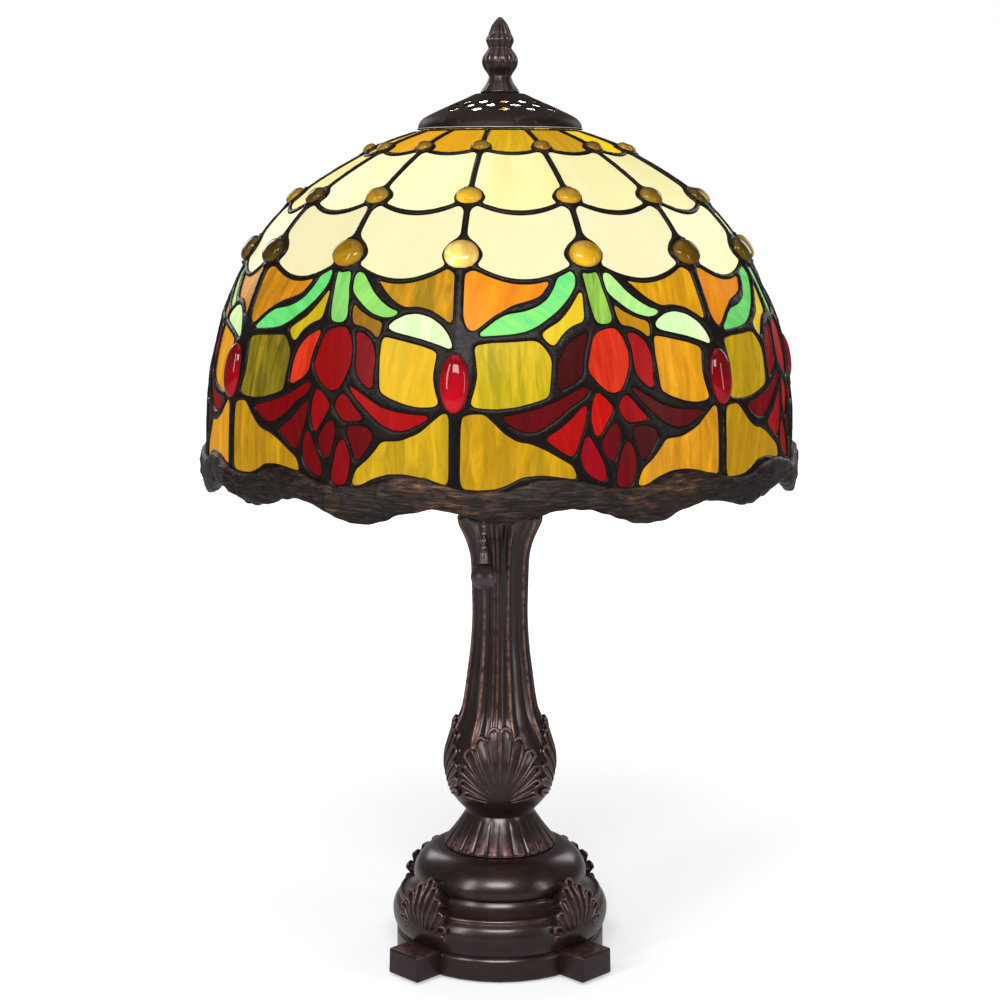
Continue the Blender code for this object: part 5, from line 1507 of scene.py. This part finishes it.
def build_cap():
    """The pierced cap, with three staggered rings of diamond vents and a rolled lip."""
    segs = 14 * 24
    outer = catmull([(12.6, 448.5), (12.6, 448.5), (13.3, 448.3), (18.6, 445.8), (26.0, 442.6), (33.0, 439.4),
                     (37.6, 437.1), (40.2, 435.3), (41.7, 433.2), (42.1, 431.4), (41.9, 430.2)], 10)
    fine = [outer[0]]
    for a, b in zip(outer, outer[1:]):
        n = max(1, int(np.hypot(*(b - a)) / 0.42))
        fine += [a + (b - a) * k / n for k in range(1, n + 1)]
    outer = np.array(fine)
    n = len(outer)
    phi = np.linspace(0, TAU, segs, endpoint=False)
    rows = ((22.6, 0.0), (27.0, 0.5), (31.6, 0.0))
    holes = []
    for r, shift in rows:
        for k in range(14):
            holes.append((r, TAU * (k + shift) / 14 + 0.07))
    R = outer[:, 0]
    open_cell = np.zeros((n - 1, segs), bool)
    mid_r = (R[:-1] + R[1:]) / 2
    for i in range(n - 1):
        if not 20 < mid_r[i] < 35:
            continue
        for r, a in holes:
            dr = abs(mid_r[i] - r)
            if dr > 2.55:
                continue
            da = (phi + TAU / segs / 2 - a + math.pi) % TAU - math.pi
            arcd = np.abs(da) * mid_r[i]
            open_cell[i] |= (arcd / (3.9 + 0.09 * (r - 20)) + dr / 2.5) < 1.0
    verts = []
    thick = 0.9
    tang = np.gradient(outer, axis=0)
    tang /= np.linalg.norm(tang, axis=1, keepdims=True)
    nr, nz = tang[:, 1] * -1, tang[:, 0]
    nr, nz = np.where(nz < 0, -nr, nr), np.abs(nz)
    for layer in (0, 1):
        for i in range(n):
            d = thick * layer
            r, z = R[i] - nr[i] * d * 0.8, outer[i, 1] - max(nz[i], 0.55) * d
            if layer and i > n - 8:
                r, z = min(r, 41.0), max(z, 430.2)
            verts += [(r * math.sin(p), -r * math.cos(p), z) for p in phi]
    faces = []
    lay = n * segs
    for i in range(n - 1):
        for k in range(segs):
            j = (k + 1) % segs
            if open_cell[i, k]:
                continue
            a, b, c, d = i * segs + k, (i + 1) * segs + k, (i + 1) * segs + j, i * segs + j
            faces.append((a, b, c, d))
            faces.append((lay + d, lay + c, lay + b, lay + a))
            for (p, q, ni, nk) in ((a, b, i, k - 1), (c, d, i, (k + 1) % segs), (d, a, i - 1, k), (b, c, i + 1, k)):
                if not 0 <= ni < n - 1 or open_cell[ni, nk % segs]:
                    faces.append((q, p, lay + p, lay + q))
    # flat top with the hole for the stud
    ring_o, ring_i = [k for k in range(segs)], []
    for z, layer in ((448.4, 0), (447.5, 1)):
        base = len(verts)
        verts += [(3.7 * math.sin(p), -3.7 * math.cos(p), z) for p in phi]
        for k in range(segs):
            j = (k + 1) % segs
            edge = (layer * lay + k, layer * lay + j, base + j, base + k)
            faces.append(edge if layer == 0 else edge[::-1])
        ring_i.append(base)
    for k in range(segs):
        j = (k + 1) % segs
        faces.append((ring_i[0] + k, ring_i[0] + j, ring_i[1] + j, ring_i[1] + k))
    o = new_mesh("pierced_cap", verts, faces, [BRONZE_PLAIN, BRASS_RAW], "cap", ("heat_cap",), True, 42)
    recalc(o)
    for poly in o.data.polygons:                          # bare spun brass inside
        poly.material_index = 1 if min(poly.vertices) >= lay and poly.normal.z < 0.1 else 0
    return o


def build_finial():
    prof = catmull([(0, 455.0), (0, 455.0), (3.4, 454.6), (3.4, 454.6), (3.4, 449.0), (3.4, 449.0), (9.0, 448.8),
                    (9.8, 449.0), (9.9, 449.8), (9.0, 451.1), (7.2, 453.7), (6.1, 456.4), (5.9, 457.6), (6.8, 459.4),
                    (8.3, 461.8), (9.0, 464.5), (8.6, 467.1), (6.9, 469.6), (5.9, 471.0), (5.7, 471.9), (6.4, 473.6),
                    (6.9, 475.2), (6.6, 476.6), (5.7, 478.2), (5.0, 480.2), (3.7, 483.2), (2.2, 485.5), (0.9, 486.8),
                    (0, 487.1)], 7)
    keep = {}
    grooves = 11

    def shape(phi, R, Z):
        outer = smoothstep(457.5, 460.0, Z)
        t = smoothstep(457.5, 461, Z) * smoothstep(486.8, 482.0, Z)
        leaf = np.abs(np.sin(phi * grooves / 2 + (Z - 460) * 0.02))
        fine = 0.12 * np.sin(phi * grooves * 3)
        d = (0.75 * leaf ** 0.6 - 0.55 + fine) * t * np.where(R > 2, 1, R / 2)
        foot = smoothstep(458.0, 454.0, Z) * (R > 5.0)
        d = d + 0.18 * (np.abs(np.sin(phi * 10)) - 0.5) * foot
        keep["rub"] = np.clip((leaf > 0.85) * t * 0.12 + 0.02, 0, 1)
        return np.maximum(R + d, 0.0), Z

    v, f, (R, Z, index) = lathe(prof, 198, shape)
    o = new_mesh("cast_finial", v, f, BRONZE, "finial", ("finial",))
    rub = np.zeros(len(v))
    for i in range(index.shape[0]):
        rub[index[i]] = keep["rub"][i]
    float_attribute(o, "rub", rub)
    recalc(o)
    return o


# ------------------------------------------------------------------ chain, socket, bulb, harp
CHAIN_AZ = math.radians(17.3)
CHAIN_R = 28.0
AX, AY = -math.sin(CHAIN_AZ), -math.cos(CHAIN_AZ)
TX, TY = -AY, AX


def at(r, z, t=0.0):
    return (AX * r + TX * t, AY * r + TY * t, z)


def bead(z, r=1.2, rings=9):
    return [(r * math.sin(math.pi * k / rings), z + r * math.cos(math.pi * k / rings)) for k in range(rings + 1)]


def turned_piece(name, profile, mat, body, replaces, segs=64, pos=(0, 0), per=1, sharp=35):
    prof = catmull(profile, per) if per > 1 else np.array(profile, float)
    keep = np.r_[True, np.hypot(*np.diff(prof, axis=0).T) > 1e-5]
    prof = prof[keep]
    if prof[0, 0] > 1e-9 and np.hypot(*(prof[0] - prof[-1])) < 1e-5:
        prof = prof[:-1]
    v, f, _ = lathe(prof, segs, None, pos)
    o = new_mesh(name, v, f, mat, body, replaces, True, sharp)
    return recalc(o)


def build_chain():
    pos = at(CHAIN_R, 0)[:2]
    zs = [243.4 - 3.75 * k for k in range(8)]
    parts = []
    for z in zs:
        v, f, _ = lathe(bead(z), 24, None, pos)
        parts.append((v, f))
    for a, b in zip(zs, zs[1:]):
        v, f, _ = lathe([(0, a - 1.0), (0.36, a - 1.05), (0.30, (a + b) / 2), (0.36, b + 1.05), (0, b + 1.0)], 12, None, pos)
        parts.append((v, f))
    v, f = merge(parts)
    recalc(new_mesh("bead_chain", v, f, BEAD_BRONZE_WITH_PAINTED_LIGHT, "chain", ("pull_chain",)))
    parts = []
    for z in (253.0, 249.2):
        v, f, _ = lathe(bead(z), 24, None, pos)
        parts.append((v, f))
    v, f, _ = lathe([(0, 252.0), (0.36, 251.95), (0.3, 251.1), (0.36, 250.25), (0, 250.2)], 12, None, pos)
    parts.append((v, f))
    v, f = merge(parts)
    recalc(new_mesh("bead_chain_upper", v, f, BEAD_BRONZE_WITH_PAINTED_LIGHT, "chain_top", ("chain_top_link",)))
    cz = zs[-1] - 1.55
    turned_piece("chain_connector", [(0, cz), (0.9, cz), (1.5, cz - 0.5), (2.0, cz - 1.6), (2.0, 209.9), (2.3, 209.5), (2.3, 209.0),
                                     (0, 209.0)], BEAD_BRONZE_WITH_PAINTED_LIGHT, "chain_ball", ("chain_coupling",), 32, pos)
    prof = []
    for k in range(25):
        a = math.pi * k / 24
        r = 6.9 * math.sin(a)
        prof.append((r, 201.75 + 6.7 * math.cos(a)))
    prof[0] = (0, 208.45)
    prof[-1] = (0, 195.05)
    turned_piece("ball_knob", prof, CHAIN_BRONZE_WITH_PAINTED_LIGHT, "chain_ball", ("pull_ball",), 56, pos)
    # the bell mouth the chain hangs from
    elbow = [at(16.6, 260.0), at(18.5, 260.0), at(21.0, 260.0), at(23.0, 260.0)]
    for k in range(1, 12):
        a = math.pi / 2 * k / 12
        elbow.append(at(23.0 + 5.0 * math.sin(a), 260.0 - 5.0 * (1 - math.cos(a))))
    elbow += [at(CHAIN_R, 255.0), at(CHAIN_R, 251.0), at(CHAIN_R, 248.0), at(CHAIN_R, 246.2), at(CHAIN_R, 245.0), at(CHAIN_R, 244.1)]
    n = len(elbow)
    radii = [3.5, 3.5, 3.2] + [3.2] * (n - 7) + [3.2, 3.3, 3.7, 4.1]
    vo, fo = tube(elbow, radii, 28, False)
    vi, fi = tube(elbow, [r - 0.9 for r in radii], 28, False)
    base = len(vo)
    faces = list(fo) + [tuple(base + i for i in q[::-1]) for q in fi]
    for row in (0, n - 1):
        for k in range(28):
            j = (k + 1) % 28
            faces.append((row * 28 + k, row * 28 + j, base + row * 28 + j, base + row * 28 + k))
    recalc(new_mesh("chain_bell_guide", vo + vi, faces, BRASS, "stand", ("chain_guide",), True, 60))


def build_socket():
    turned_piece("socket_shell_turned",
                 [(16.6, 254.6), (17.2, 254.6), (17.5, 254.9), (17.5, 256.2), (17.1, 256.8), (17.1, 262.0), (17.4, 262.4),
                  (17.4, 263.2), (17.1, 263.6), (17.1, 276.0), (17.5, 276.5), (17.5, 277.4), (17.1, 277.9), (17.1, 288.5),
                  (17.5, 290.4), (18.1, 291.8), (18.2, 292.7), (17.8, 293.2), (17.2, 292.8), (16.7, 291.0)],
                 BRASS, "stand", ("socket_shell",), 96)
    turned_piece("socket_cap_turned",
                 [(5.3, 240.7), (7.6, 240.7), (7.9, 241.0), (7.9, 244.2), (9.0, 244.8), (12.2, 246.2), (15.2, 248.6),
                  (16.2, 251.0), (16.4, 252.4), (16.1, 252.8), (16.2, 255.8), (15.5, 256.0), (15.4, 252.4), (14.6, 250.0),
                  (11.6, 247.4), (5.3, 246.0)], BRASS, "stand", ("socket_cap",), 96)
    turned_piece("vase_cap_turned",
                 [(5.3, 230.4), (15.2, 230.4), (15.8, 230.7), (15.9, 231.3), (15.0, 232.0), (13.0, 232.9), (10.0, 233.6),
                  (8.4, 234.1), (5.3, 234.1)], BRASS, "stand", ("vase_cap",), 96)
    outside = catmull([(12.8, 292.0), (12.9, 294.0), (14.0, 299.0), (17.8, 307.8), (22.4, 316.0), (26.2, 323.6), (28.6, 331.6),
                       (29.8, 340.0), (29.9, 348.0), (28.4, 357.6), (24.8, 366.0), (18.6, 372.3), (10.4, 375.6), (0, 376.4)], 7)
    inner = outside[::-1].copy()
    inner[:, 0] = np.maximum(inner[:, 0] - 0.8, 0)
    inner[:, 1] = np.where(inner[:, 1] > 350, inner[:, 1] - 0.8, inner[:, 1])
    inner[0, 0] = 0
    turned_piece("bulb_envelope", np.vstack([inner, outside]), BULB, "bulb", ("bulb_glass",), 96, sharp=50)
    # the bulb's rolled thread
    prof = [(0, 269.9), (4.8, 269.9), (4.8, 268.6), (8.6, 269.2), (10.6, 270.2), (11.8, 271.6)]
    for k in range(60):
        z = 272.4 + 18.0 * k / 59
        prof.append((12.25 + 0.42 * math.sin(TAU * (z - 272.4) / 3.63), z))
    prof += [(12.6, 291.2), (12.4, 291.6), (11.2, 291.6), (11.2, 272.4), (8.0, 270.6), (0, 270.4)]
    turned_piece("bulb_screw_base", prof, ALU, "bulb", ("bulb_base",), 72)


def build_harp():
    half = [(27.0, 251.2), (27.0, 262.0), (27.0, 272.0), (28.6, 280.0), (34.0, 290.0), (44.0, 302.0), (52.0, 316.0),
            (56.0, 334.0), (56.0, 352.0), (53.0, 370.0), (46.0, 387.0), (36.0, 402.0), (24.0, 414.0), (12.0, 422.5),
            (5.0, 425.6), (0.0, 426.0)]
    path = [(x, 0, z) for x, z in half] + [(-x, 0, z) for x, z in half[-2::-1]]
    path = catmull(path, 5)
    parts = [tube(path, 1.65, 20)]
    v, f, _ = lathe([(0, 424.2), (5.0, 424.2), (5.6, 424.6), (5.6, 427.6), (5.2, 428.0), (0, 428.0)], 40)
    parts.append((v, f))
    v, f = merge(parts)
    recalc(new_mesh("harp_wire", v, f, BRASS, "harp", ("harp_bow",), True, 40))
    prof = [(0, 428.3), (4.6, 428.3), (5.0, 428.6), (5.0, 430.2), (4.7, 430.5), (3.1, 430.5)]
    for k in range(80):
        z = 431.0 + 24.6 * k / 79
        prof.append((2.95 + 0.15 * math.cos(TAU * (z - 431) / 0.94), z))
    prof += [(2.4, 456.4), (0, 456.6)]
    turned_piece("harp_stud", prof, BRASS, "harp", ("finial_stud",), 40)
    for s, side in ((-1, "left"), (1, "right")):
        turned_piece("ferrule_" + side,
                     [(2.4, 246.2), (3.7, 246.2), (3.9, 246.4), (3.9, 247.3), (3.5, 247.8), (3.4, 248.4), (3.4, 256.4),
                      (3.5, 256.9), (3.9, 257.3), (3.9, 258.2), (3.7, 258.4), (2.4, 258.4)],
                     BRASS, side + "_ferrule", ("harp_ferrule_" + side,), 40, (s * 27.0, 0))
    # saddle: a bent strap with upturned ends and a pin at each
    outline = [(-27.6, 242.8), (-27.6, 235.6), (-26.8, 234.7), (26.8, 234.7), (27.6, 235.6), (27.6, 242.8),
               (26.3, 242.8), (26.3, 236.4), (26.0, 236.1), (-26.0, 236.1), (-26.3, 236.4), (-26.3, 242.8)]
    bm = bmesh.new()
    a = [bm.verts.new((x * MM, -5.4 * MM, z * MM)) for x, z in outline]
    b = [bm.verts.new((x * MM, 5.4 * MM, z * MM)) for x, z in outline]
    n = len(outline)
    bm.faces.new(a)
    bm.faces.new(b[::-1])
    for i in range(n):
        j = (i + 1) % n
        bm.faces.new([a[j], a[i], b[i], b[j]])
    bmesh.ops.recalc_face_normals(bm, faces=bm.faces)
    bmesh.ops.bevel(bm, geom=list(bm.edges), offset=0.3 * MM, segments=2, affect="EDGES")
    for s in (-1, 1):
        made = bmesh.ops.create_cone(bm, cap_ends=True, segments=20, radius1=1.35 * MM, radius2=1.1 * MM, depth=8.6 * MM)["verts"]
        bmesh.ops.translate(bm, verts=made, vec=(s * 27.0 * MM, 0, 246.5 * MM))
    bmesh.ops.translate(bm, verts=bm.verts, vec=(0, 0, RISE * MM))
    me = bpy.data.meshes.new("saddle_strap")
    bm.to_mesh(me)
    bm.free()
    new_object("saddle_strap", me, BRASS, "stand", ("harp_saddle",), True, 35)


def build_cord():
    R = 2.4
    floor = R + 0.4
    gz = 7.6

    def bend(cx, cy, r, a0, a1, z0, z1, n):
        return [(cx + r * math.cos(a0 + (a1 - a0) * k / n), cy + r * math.sin(a0 + (a1 - a0) * k / n),
                 z0 + (z1 - z0) * k / n) for k in range(n + 1)]

    rad = math.radians
    cord = [(0, 0, 250.0 + RISE), (0, 0, 140.0), (0, 0, 48.0), (0, 0.6, 38.0), (0, 4.0, 25.0), (0, 11.0, 14.0),
            (0, 22.0, 8.8), (0, 34.0, gz), (0, 48.0, gz), (0, 61.0, gz)]
    cord += bend(-10.0, 67.0, 10.0, rad(0), rad(90), 6.6, floor, 4)
    cord += [(-28.0, 77.0, floor)]
    cord += bend(-28.0, 85.0, 8.0, rad(-110), rad(-270), floor, floor, 6)
    cord += [(0.0, 93.0, floor), (26.0, 93.0, floor)]
    cord += bend(28.0, 101.0, 8.0, rad(-75), rad(90), floor, floor, 6)
    cord += [(0.0, 109.0, floor), (-20.0, 109.0, floor)]
    cord += bend(-22.0, 117.5, 8.5, rad(-105), rad(-270), floor, 4.6, 6)
    cord += [(-14.0, 126.0, 6.4), (-8.0, 126.0, 7.2)]
    path = catmull(cord, 6)
    v, f = tube(path, R, 20, True, lambda a: 0.90 + 0.10 * abs(math.cos(a)))
    recalc(new_mesh("supply_cord", v, f, CORD, "stand", ("power_cord",)))
    px = -7.6
    rings = []
    prof = [(0.0, 2.9, 2.9), (0.4, 3.4, 3.4), (2.0, 3.6, 3.5), (2.4, 3.1, 3.1), (3.4, 3.1, 3.1), (3.8, 3.9, 3.8), (4.8, 4.4, 4.2),
            (6.4, 7.2, 5.4), (8.0, 9.2, 6.2)]
    for k in range(12):
        x = 9.0 + 12.0 * k / 11
        prof.append((x, 10.2 + 0.5 * k / 11 + 0.28 * math.sin(TAU * k / 3.6), 6.6 + 0.24 * math.sin(TAU * k / 3.6)))
    prof += [(22.4, 10.8, 6.8), (24.4, 10.8, 6.8), (25.2, 10.4, 6.4), (25.5, 9.6, 5.8)]
    sides = 48
    verts, faces = [], []
    for x, hy, hz in prof:
        for k in range(sides):
            a = TAU * (k + 0.5) / sides
            c, s = math.cos(a), math.sin(a)
            g = (abs(c) ** 3.4 + abs(s) ** 3.4) ** (-1 / 3.4)
            verts.append((px + x, 126.0 + hy * g * c, 7.2 + hz * g * s))
    for i in range(len(prof) - 1):
        for k in range(sides):
            j = (k + 1) % sides
            faces.append((i * sides + k, i * sides + j, (i + 1) * sides + j, (i + 1) * sides + k))
    faces.append(tuple(range(sides))[::-1])
    faces.append(tuple((len(prof) - 1) * sides + k for k in range(sides)))
    recalc(new_mesh("moulded_plug", verts, faces, CORD, "stand", ("plug_body",), True, 40))
    for s, word in ((-1, "hot"), (1, "neutral")):
        w = 3.0 if s < 0 else 3.8
        y = 126.0 + s * 6.35
        outline = [(px + 25.8, -w), (px + 40.2, -w), (px + 41.6, -w * 0.62), (px + 41.9, -w * 0.4), (px + 41.9, w * 0.4),
                   (px + 41.6, w * 0.62), (px + 40.2, w), (px + 25.8, w)]
        hole = [(px + 37.6 + 1.6 * math.cos(TAU * k / 20), 1.6 * math.sin(TAU * k / 20)) for k in range(20)]
        pts = [Vector(p) for p in outline + hole]
        edges = [(i, (i + 1) % len(outline)) for i in range(len(outline))]
        edges += [(len(outline) + i, len(outline) + (i + 1) % 20) for i in range(20)]
        co, _, tris, *_ = delaunay_2d_cdt(pts, edges, [], 0, 1e-5, True)
        co = np.array([tuple(c) for c in co])
        tris = np.array([t for t in tris if len(t) == 3])
        tris = tris[~inside(co[tris].mean(1), np.array(hole))]
        bm = bmesh.new()
        lo = [bm.verts.new((x * MM, (y - 0.72) * MM, (7.2 + z) * MM)) for x, z in co]
        hi = [bm.verts.new((x * MM, (y + 0.72) * MM, (7.2 + z) * MM)) for x, z in co]
        count = {}
        for t in tris:
            for p, q in ((t[0], t[1]), (t[1], t[2]), (t[2], t[0])):
                count.setdefault(frozenset((int(p), int(q))), []).append((int(p), int(q)))
            bm.faces.new([lo[i] for i in t])
            bm.faces.new([hi[i] for i in t[::-1]])
        for uses in count.values():
            if len(uses) == 1:
                p, q = uses[0]
                bm.faces.new([lo[q], lo[p], hi[p], hi[q]])
        bmesh.ops.recalc_face_normals(bm, faces=bm.faces)
        me = bpy.data.meshes.new("blade_" + word)
        bm.to_mesh(me)
        bm.free()
        new_object("blade_" + word, me, BRASS, "stand", ("plug_blade_" + word,), True, 30)


build_lead()
build_glass()
build_jewels()
build_rim()
build_column()
build_base()
build_cap()
build_finial()
build_chain()
build_socket()
build_harp()
build_cord()

# ------------------------------------------------------------------ finishes on the carried-over nodes
CARRIED = {
    "felt_pad": FELT, "threaded_rod": STEEL, "rod_nut_bottom": STEEL, "rod_washer": STEEL, "rod_nut_top": BRASS,
    "socket_insulator": PAPER, "socket_body": PHENOLIC, "socket_screw_shell": ALU, "socket_center_contact": BRASS,
    "terminal_screw_hot": BRASS, "terminal_screw_neutral": STEEL, "switch_lever": BRASS, "switch_rotor": BRASS,
    "lever_spring": STEEL, "bulb_contact": BRASS, "bulb_stem": ALU, "filament": STEEL, "shade_top_ring": BRASS,
    "shade_spider": BRASS, "finial_insert": BRASS, "cord_grommet": PHENOLIC,
}
for node, mat in CARRIED.items():
    o = bpy.data.objects.get(node)
    if o is None:
        continue
    if o.material_slots:
        for sl in o.material_slots:
            sl.material = mat
    else:
        o.data.materials.append(mat)

# ------------------------------------------------------------------ floor, light and camera
# A pale floor without end: it fades to plain white away from the lamp, and lights the lamp only softly.
floor_mat, nt, b = nodes_of("studio_floor")
b.inputs["Roughness"].default_value = 0.8
b.inputs["Specular IOR Level"].default_value = 0.05
path = nt.nodes.new("ShaderNodeLightPath")
tc = nt.nodes.new("ShaderNodeTexCoord")
ln = nt.nodes.new("ShaderNodeVectorMath")
ln.operation = "LENGTH"
link(nt, tc.outputs["Object"], ln.inputs[0])
far = nt.nodes.new("ShaderNodeMapRange")
far.interpolation_type = "SMOOTHSTEP"
far.inputs["From Min"].default_value = 0.12
far.inputs["From Max"].default_value = 0.75
far.inputs["To Min"].default_value = 0.46
far.inputs["To Max"].default_value = 1.0
link(nt, ln.outputs["Value"], far.inputs["Value"])
seen = math_node(nt, "MULTIPLY", path.outputs["Is Camera Ray"], far.outputs["Result"])
b.inputs["Emission Color"].default_value = (1.0, 1.0, 1.0, 1.0)
link(nt, seen, b.inputs["Emission Strength"])
link(nt, mix_color(nt, noise_node(nt, coords(nt), 3.0, 2, 0.5), (0.56, 0.56, 0.565), (0.58, 0.58, 0.585)),
     b.inputs["Base Color"])
verts, faces = [(0.0, 0.0, -0.0002)], []
for k in range(64):
    verts.append((9.0 * math.cos(TAU * k / 64), 9.0 * math.sin(TAU * k / 64), -0.0002))
for k in range(64):
    faces.append((0, 1 + k, 1 + (k + 1) % 64))
me = bpy.data.meshes.new("studio_floor")
me.from_pydata(verts, [], faces)
me.materials.append(floor_mat)
floor_o = bpy.data.objects.new("studio_floor", me)
bpy.context.scene.collection.objects.link(floor_o)

world = bpy.data.worlds.new("studio_world")
bpy.context.scene.world = world
world.use_nodes = True
wt = world.node_tree
bg = wt.nodes["Background"]
lp = wt.nodes.new("ShaderNodeLightPath")
strength = wt.nodes.new("ShaderNodeMapRange")
strength.inputs["To Min"].default_value = 0.16
strength.inputs["To Max"].default_value = 1.0
wt.links.new(lp.outputs["Is Camera Ray"], strength.inputs["Value"])
wt.links.new(strength.outputs["Result"], bg.inputs["Strength"])
bg.inputs["Color"].default_value = (1.0, 1.0, 1.0, 1.0)


def area(name, pos, target, size, power, colour=(1, 1, 1)):
    d = bpy.data.lights.new(name, "AREA")
    d.shape = "RECTANGLE"
    d.size, d.size_y = size
    d.energy = power
    d.color = colour
    o = bpy.data.objects.new(name, d)
    o.location = pos
    o.rotation_euler = (Vector(target) - Vector(pos)).to_track_quat("-Z", "Y").to_euler()
    bpy.context.scene.collection.objects.link(o)
    return o


area("key_left", (-1.10, -1.15, 0.95), (0, 0, 0.12), (0.26, 1.0), 12.0, (1.0, 0.99, 0.98))
area("fill_right", (1.35, -0.8, 0.55), (0, 0, 0.12), (0.16, 0.9), 5.5, (0.94, 0.97, 1.0))
area("front_high", (-0.05, -1.3, 1.15), (0, 0, 0.03), (0.8, 0.42), 22.0, (0.92, 0.95, 1.0))
area("top_soft", (0.0, -0.1, 1.9), (0, 0, 0.1), (1.5, 1.5), 7)
area("rim_back", (-0.9, 1.3, 1.0), (0, 0, 0.15), (0.4, 0.8), 4.5, (0.95, 0.97, 1.0))
area("rim_back_right", (1.0, 1.2, 0.9), (0, 0, 0.15), (0.4, 0.8), 3.5, (0.95, 0.97, 1.0))

glow = bpy.data.lights.new("lamp_glow", "POINT")
glow.energy = 0.25
glow.color = (1.0, 0.78, 0.50)
glow.shadow_soft_size = 0.03
glow_o = bpy.data.objects.new("lamp_glow", glow)
glow_o.location = (0, 0, 0.385)
bpy.context.scene.collection.objects.link(glow_o)
inner = bpy.data.lights.new("under_cap", "POINT")
inner.energy = 0.10
inner.color = (1.0, 0.97, 0.90)
inner.shadow_soft_size = 0.006
inner_o = bpy.data.objects.new("under_cap", inner)
inner_o.location = (0, 0.012, 0.444)
bpy.context.scene.collection.objects.link(inner_o)

scene = bpy.context.scene
scene.view_settings.view_transform = "Standard"
cam_data = bpy.data.cameras.new("photo_camera")
cam_data.sensor_width = 36.0
cam_data.lens = 72.3
cam = bpy.data.objects.new("photo_camera", cam_data)
cam.location = (0.0, -1.05, 0.405)
cam.rotation_euler = (math.radians(90 - 8.6), 0, 0)
scene.collection.objects.link(cam)
scene.camera = cam

bpy.context.view_layer.update()
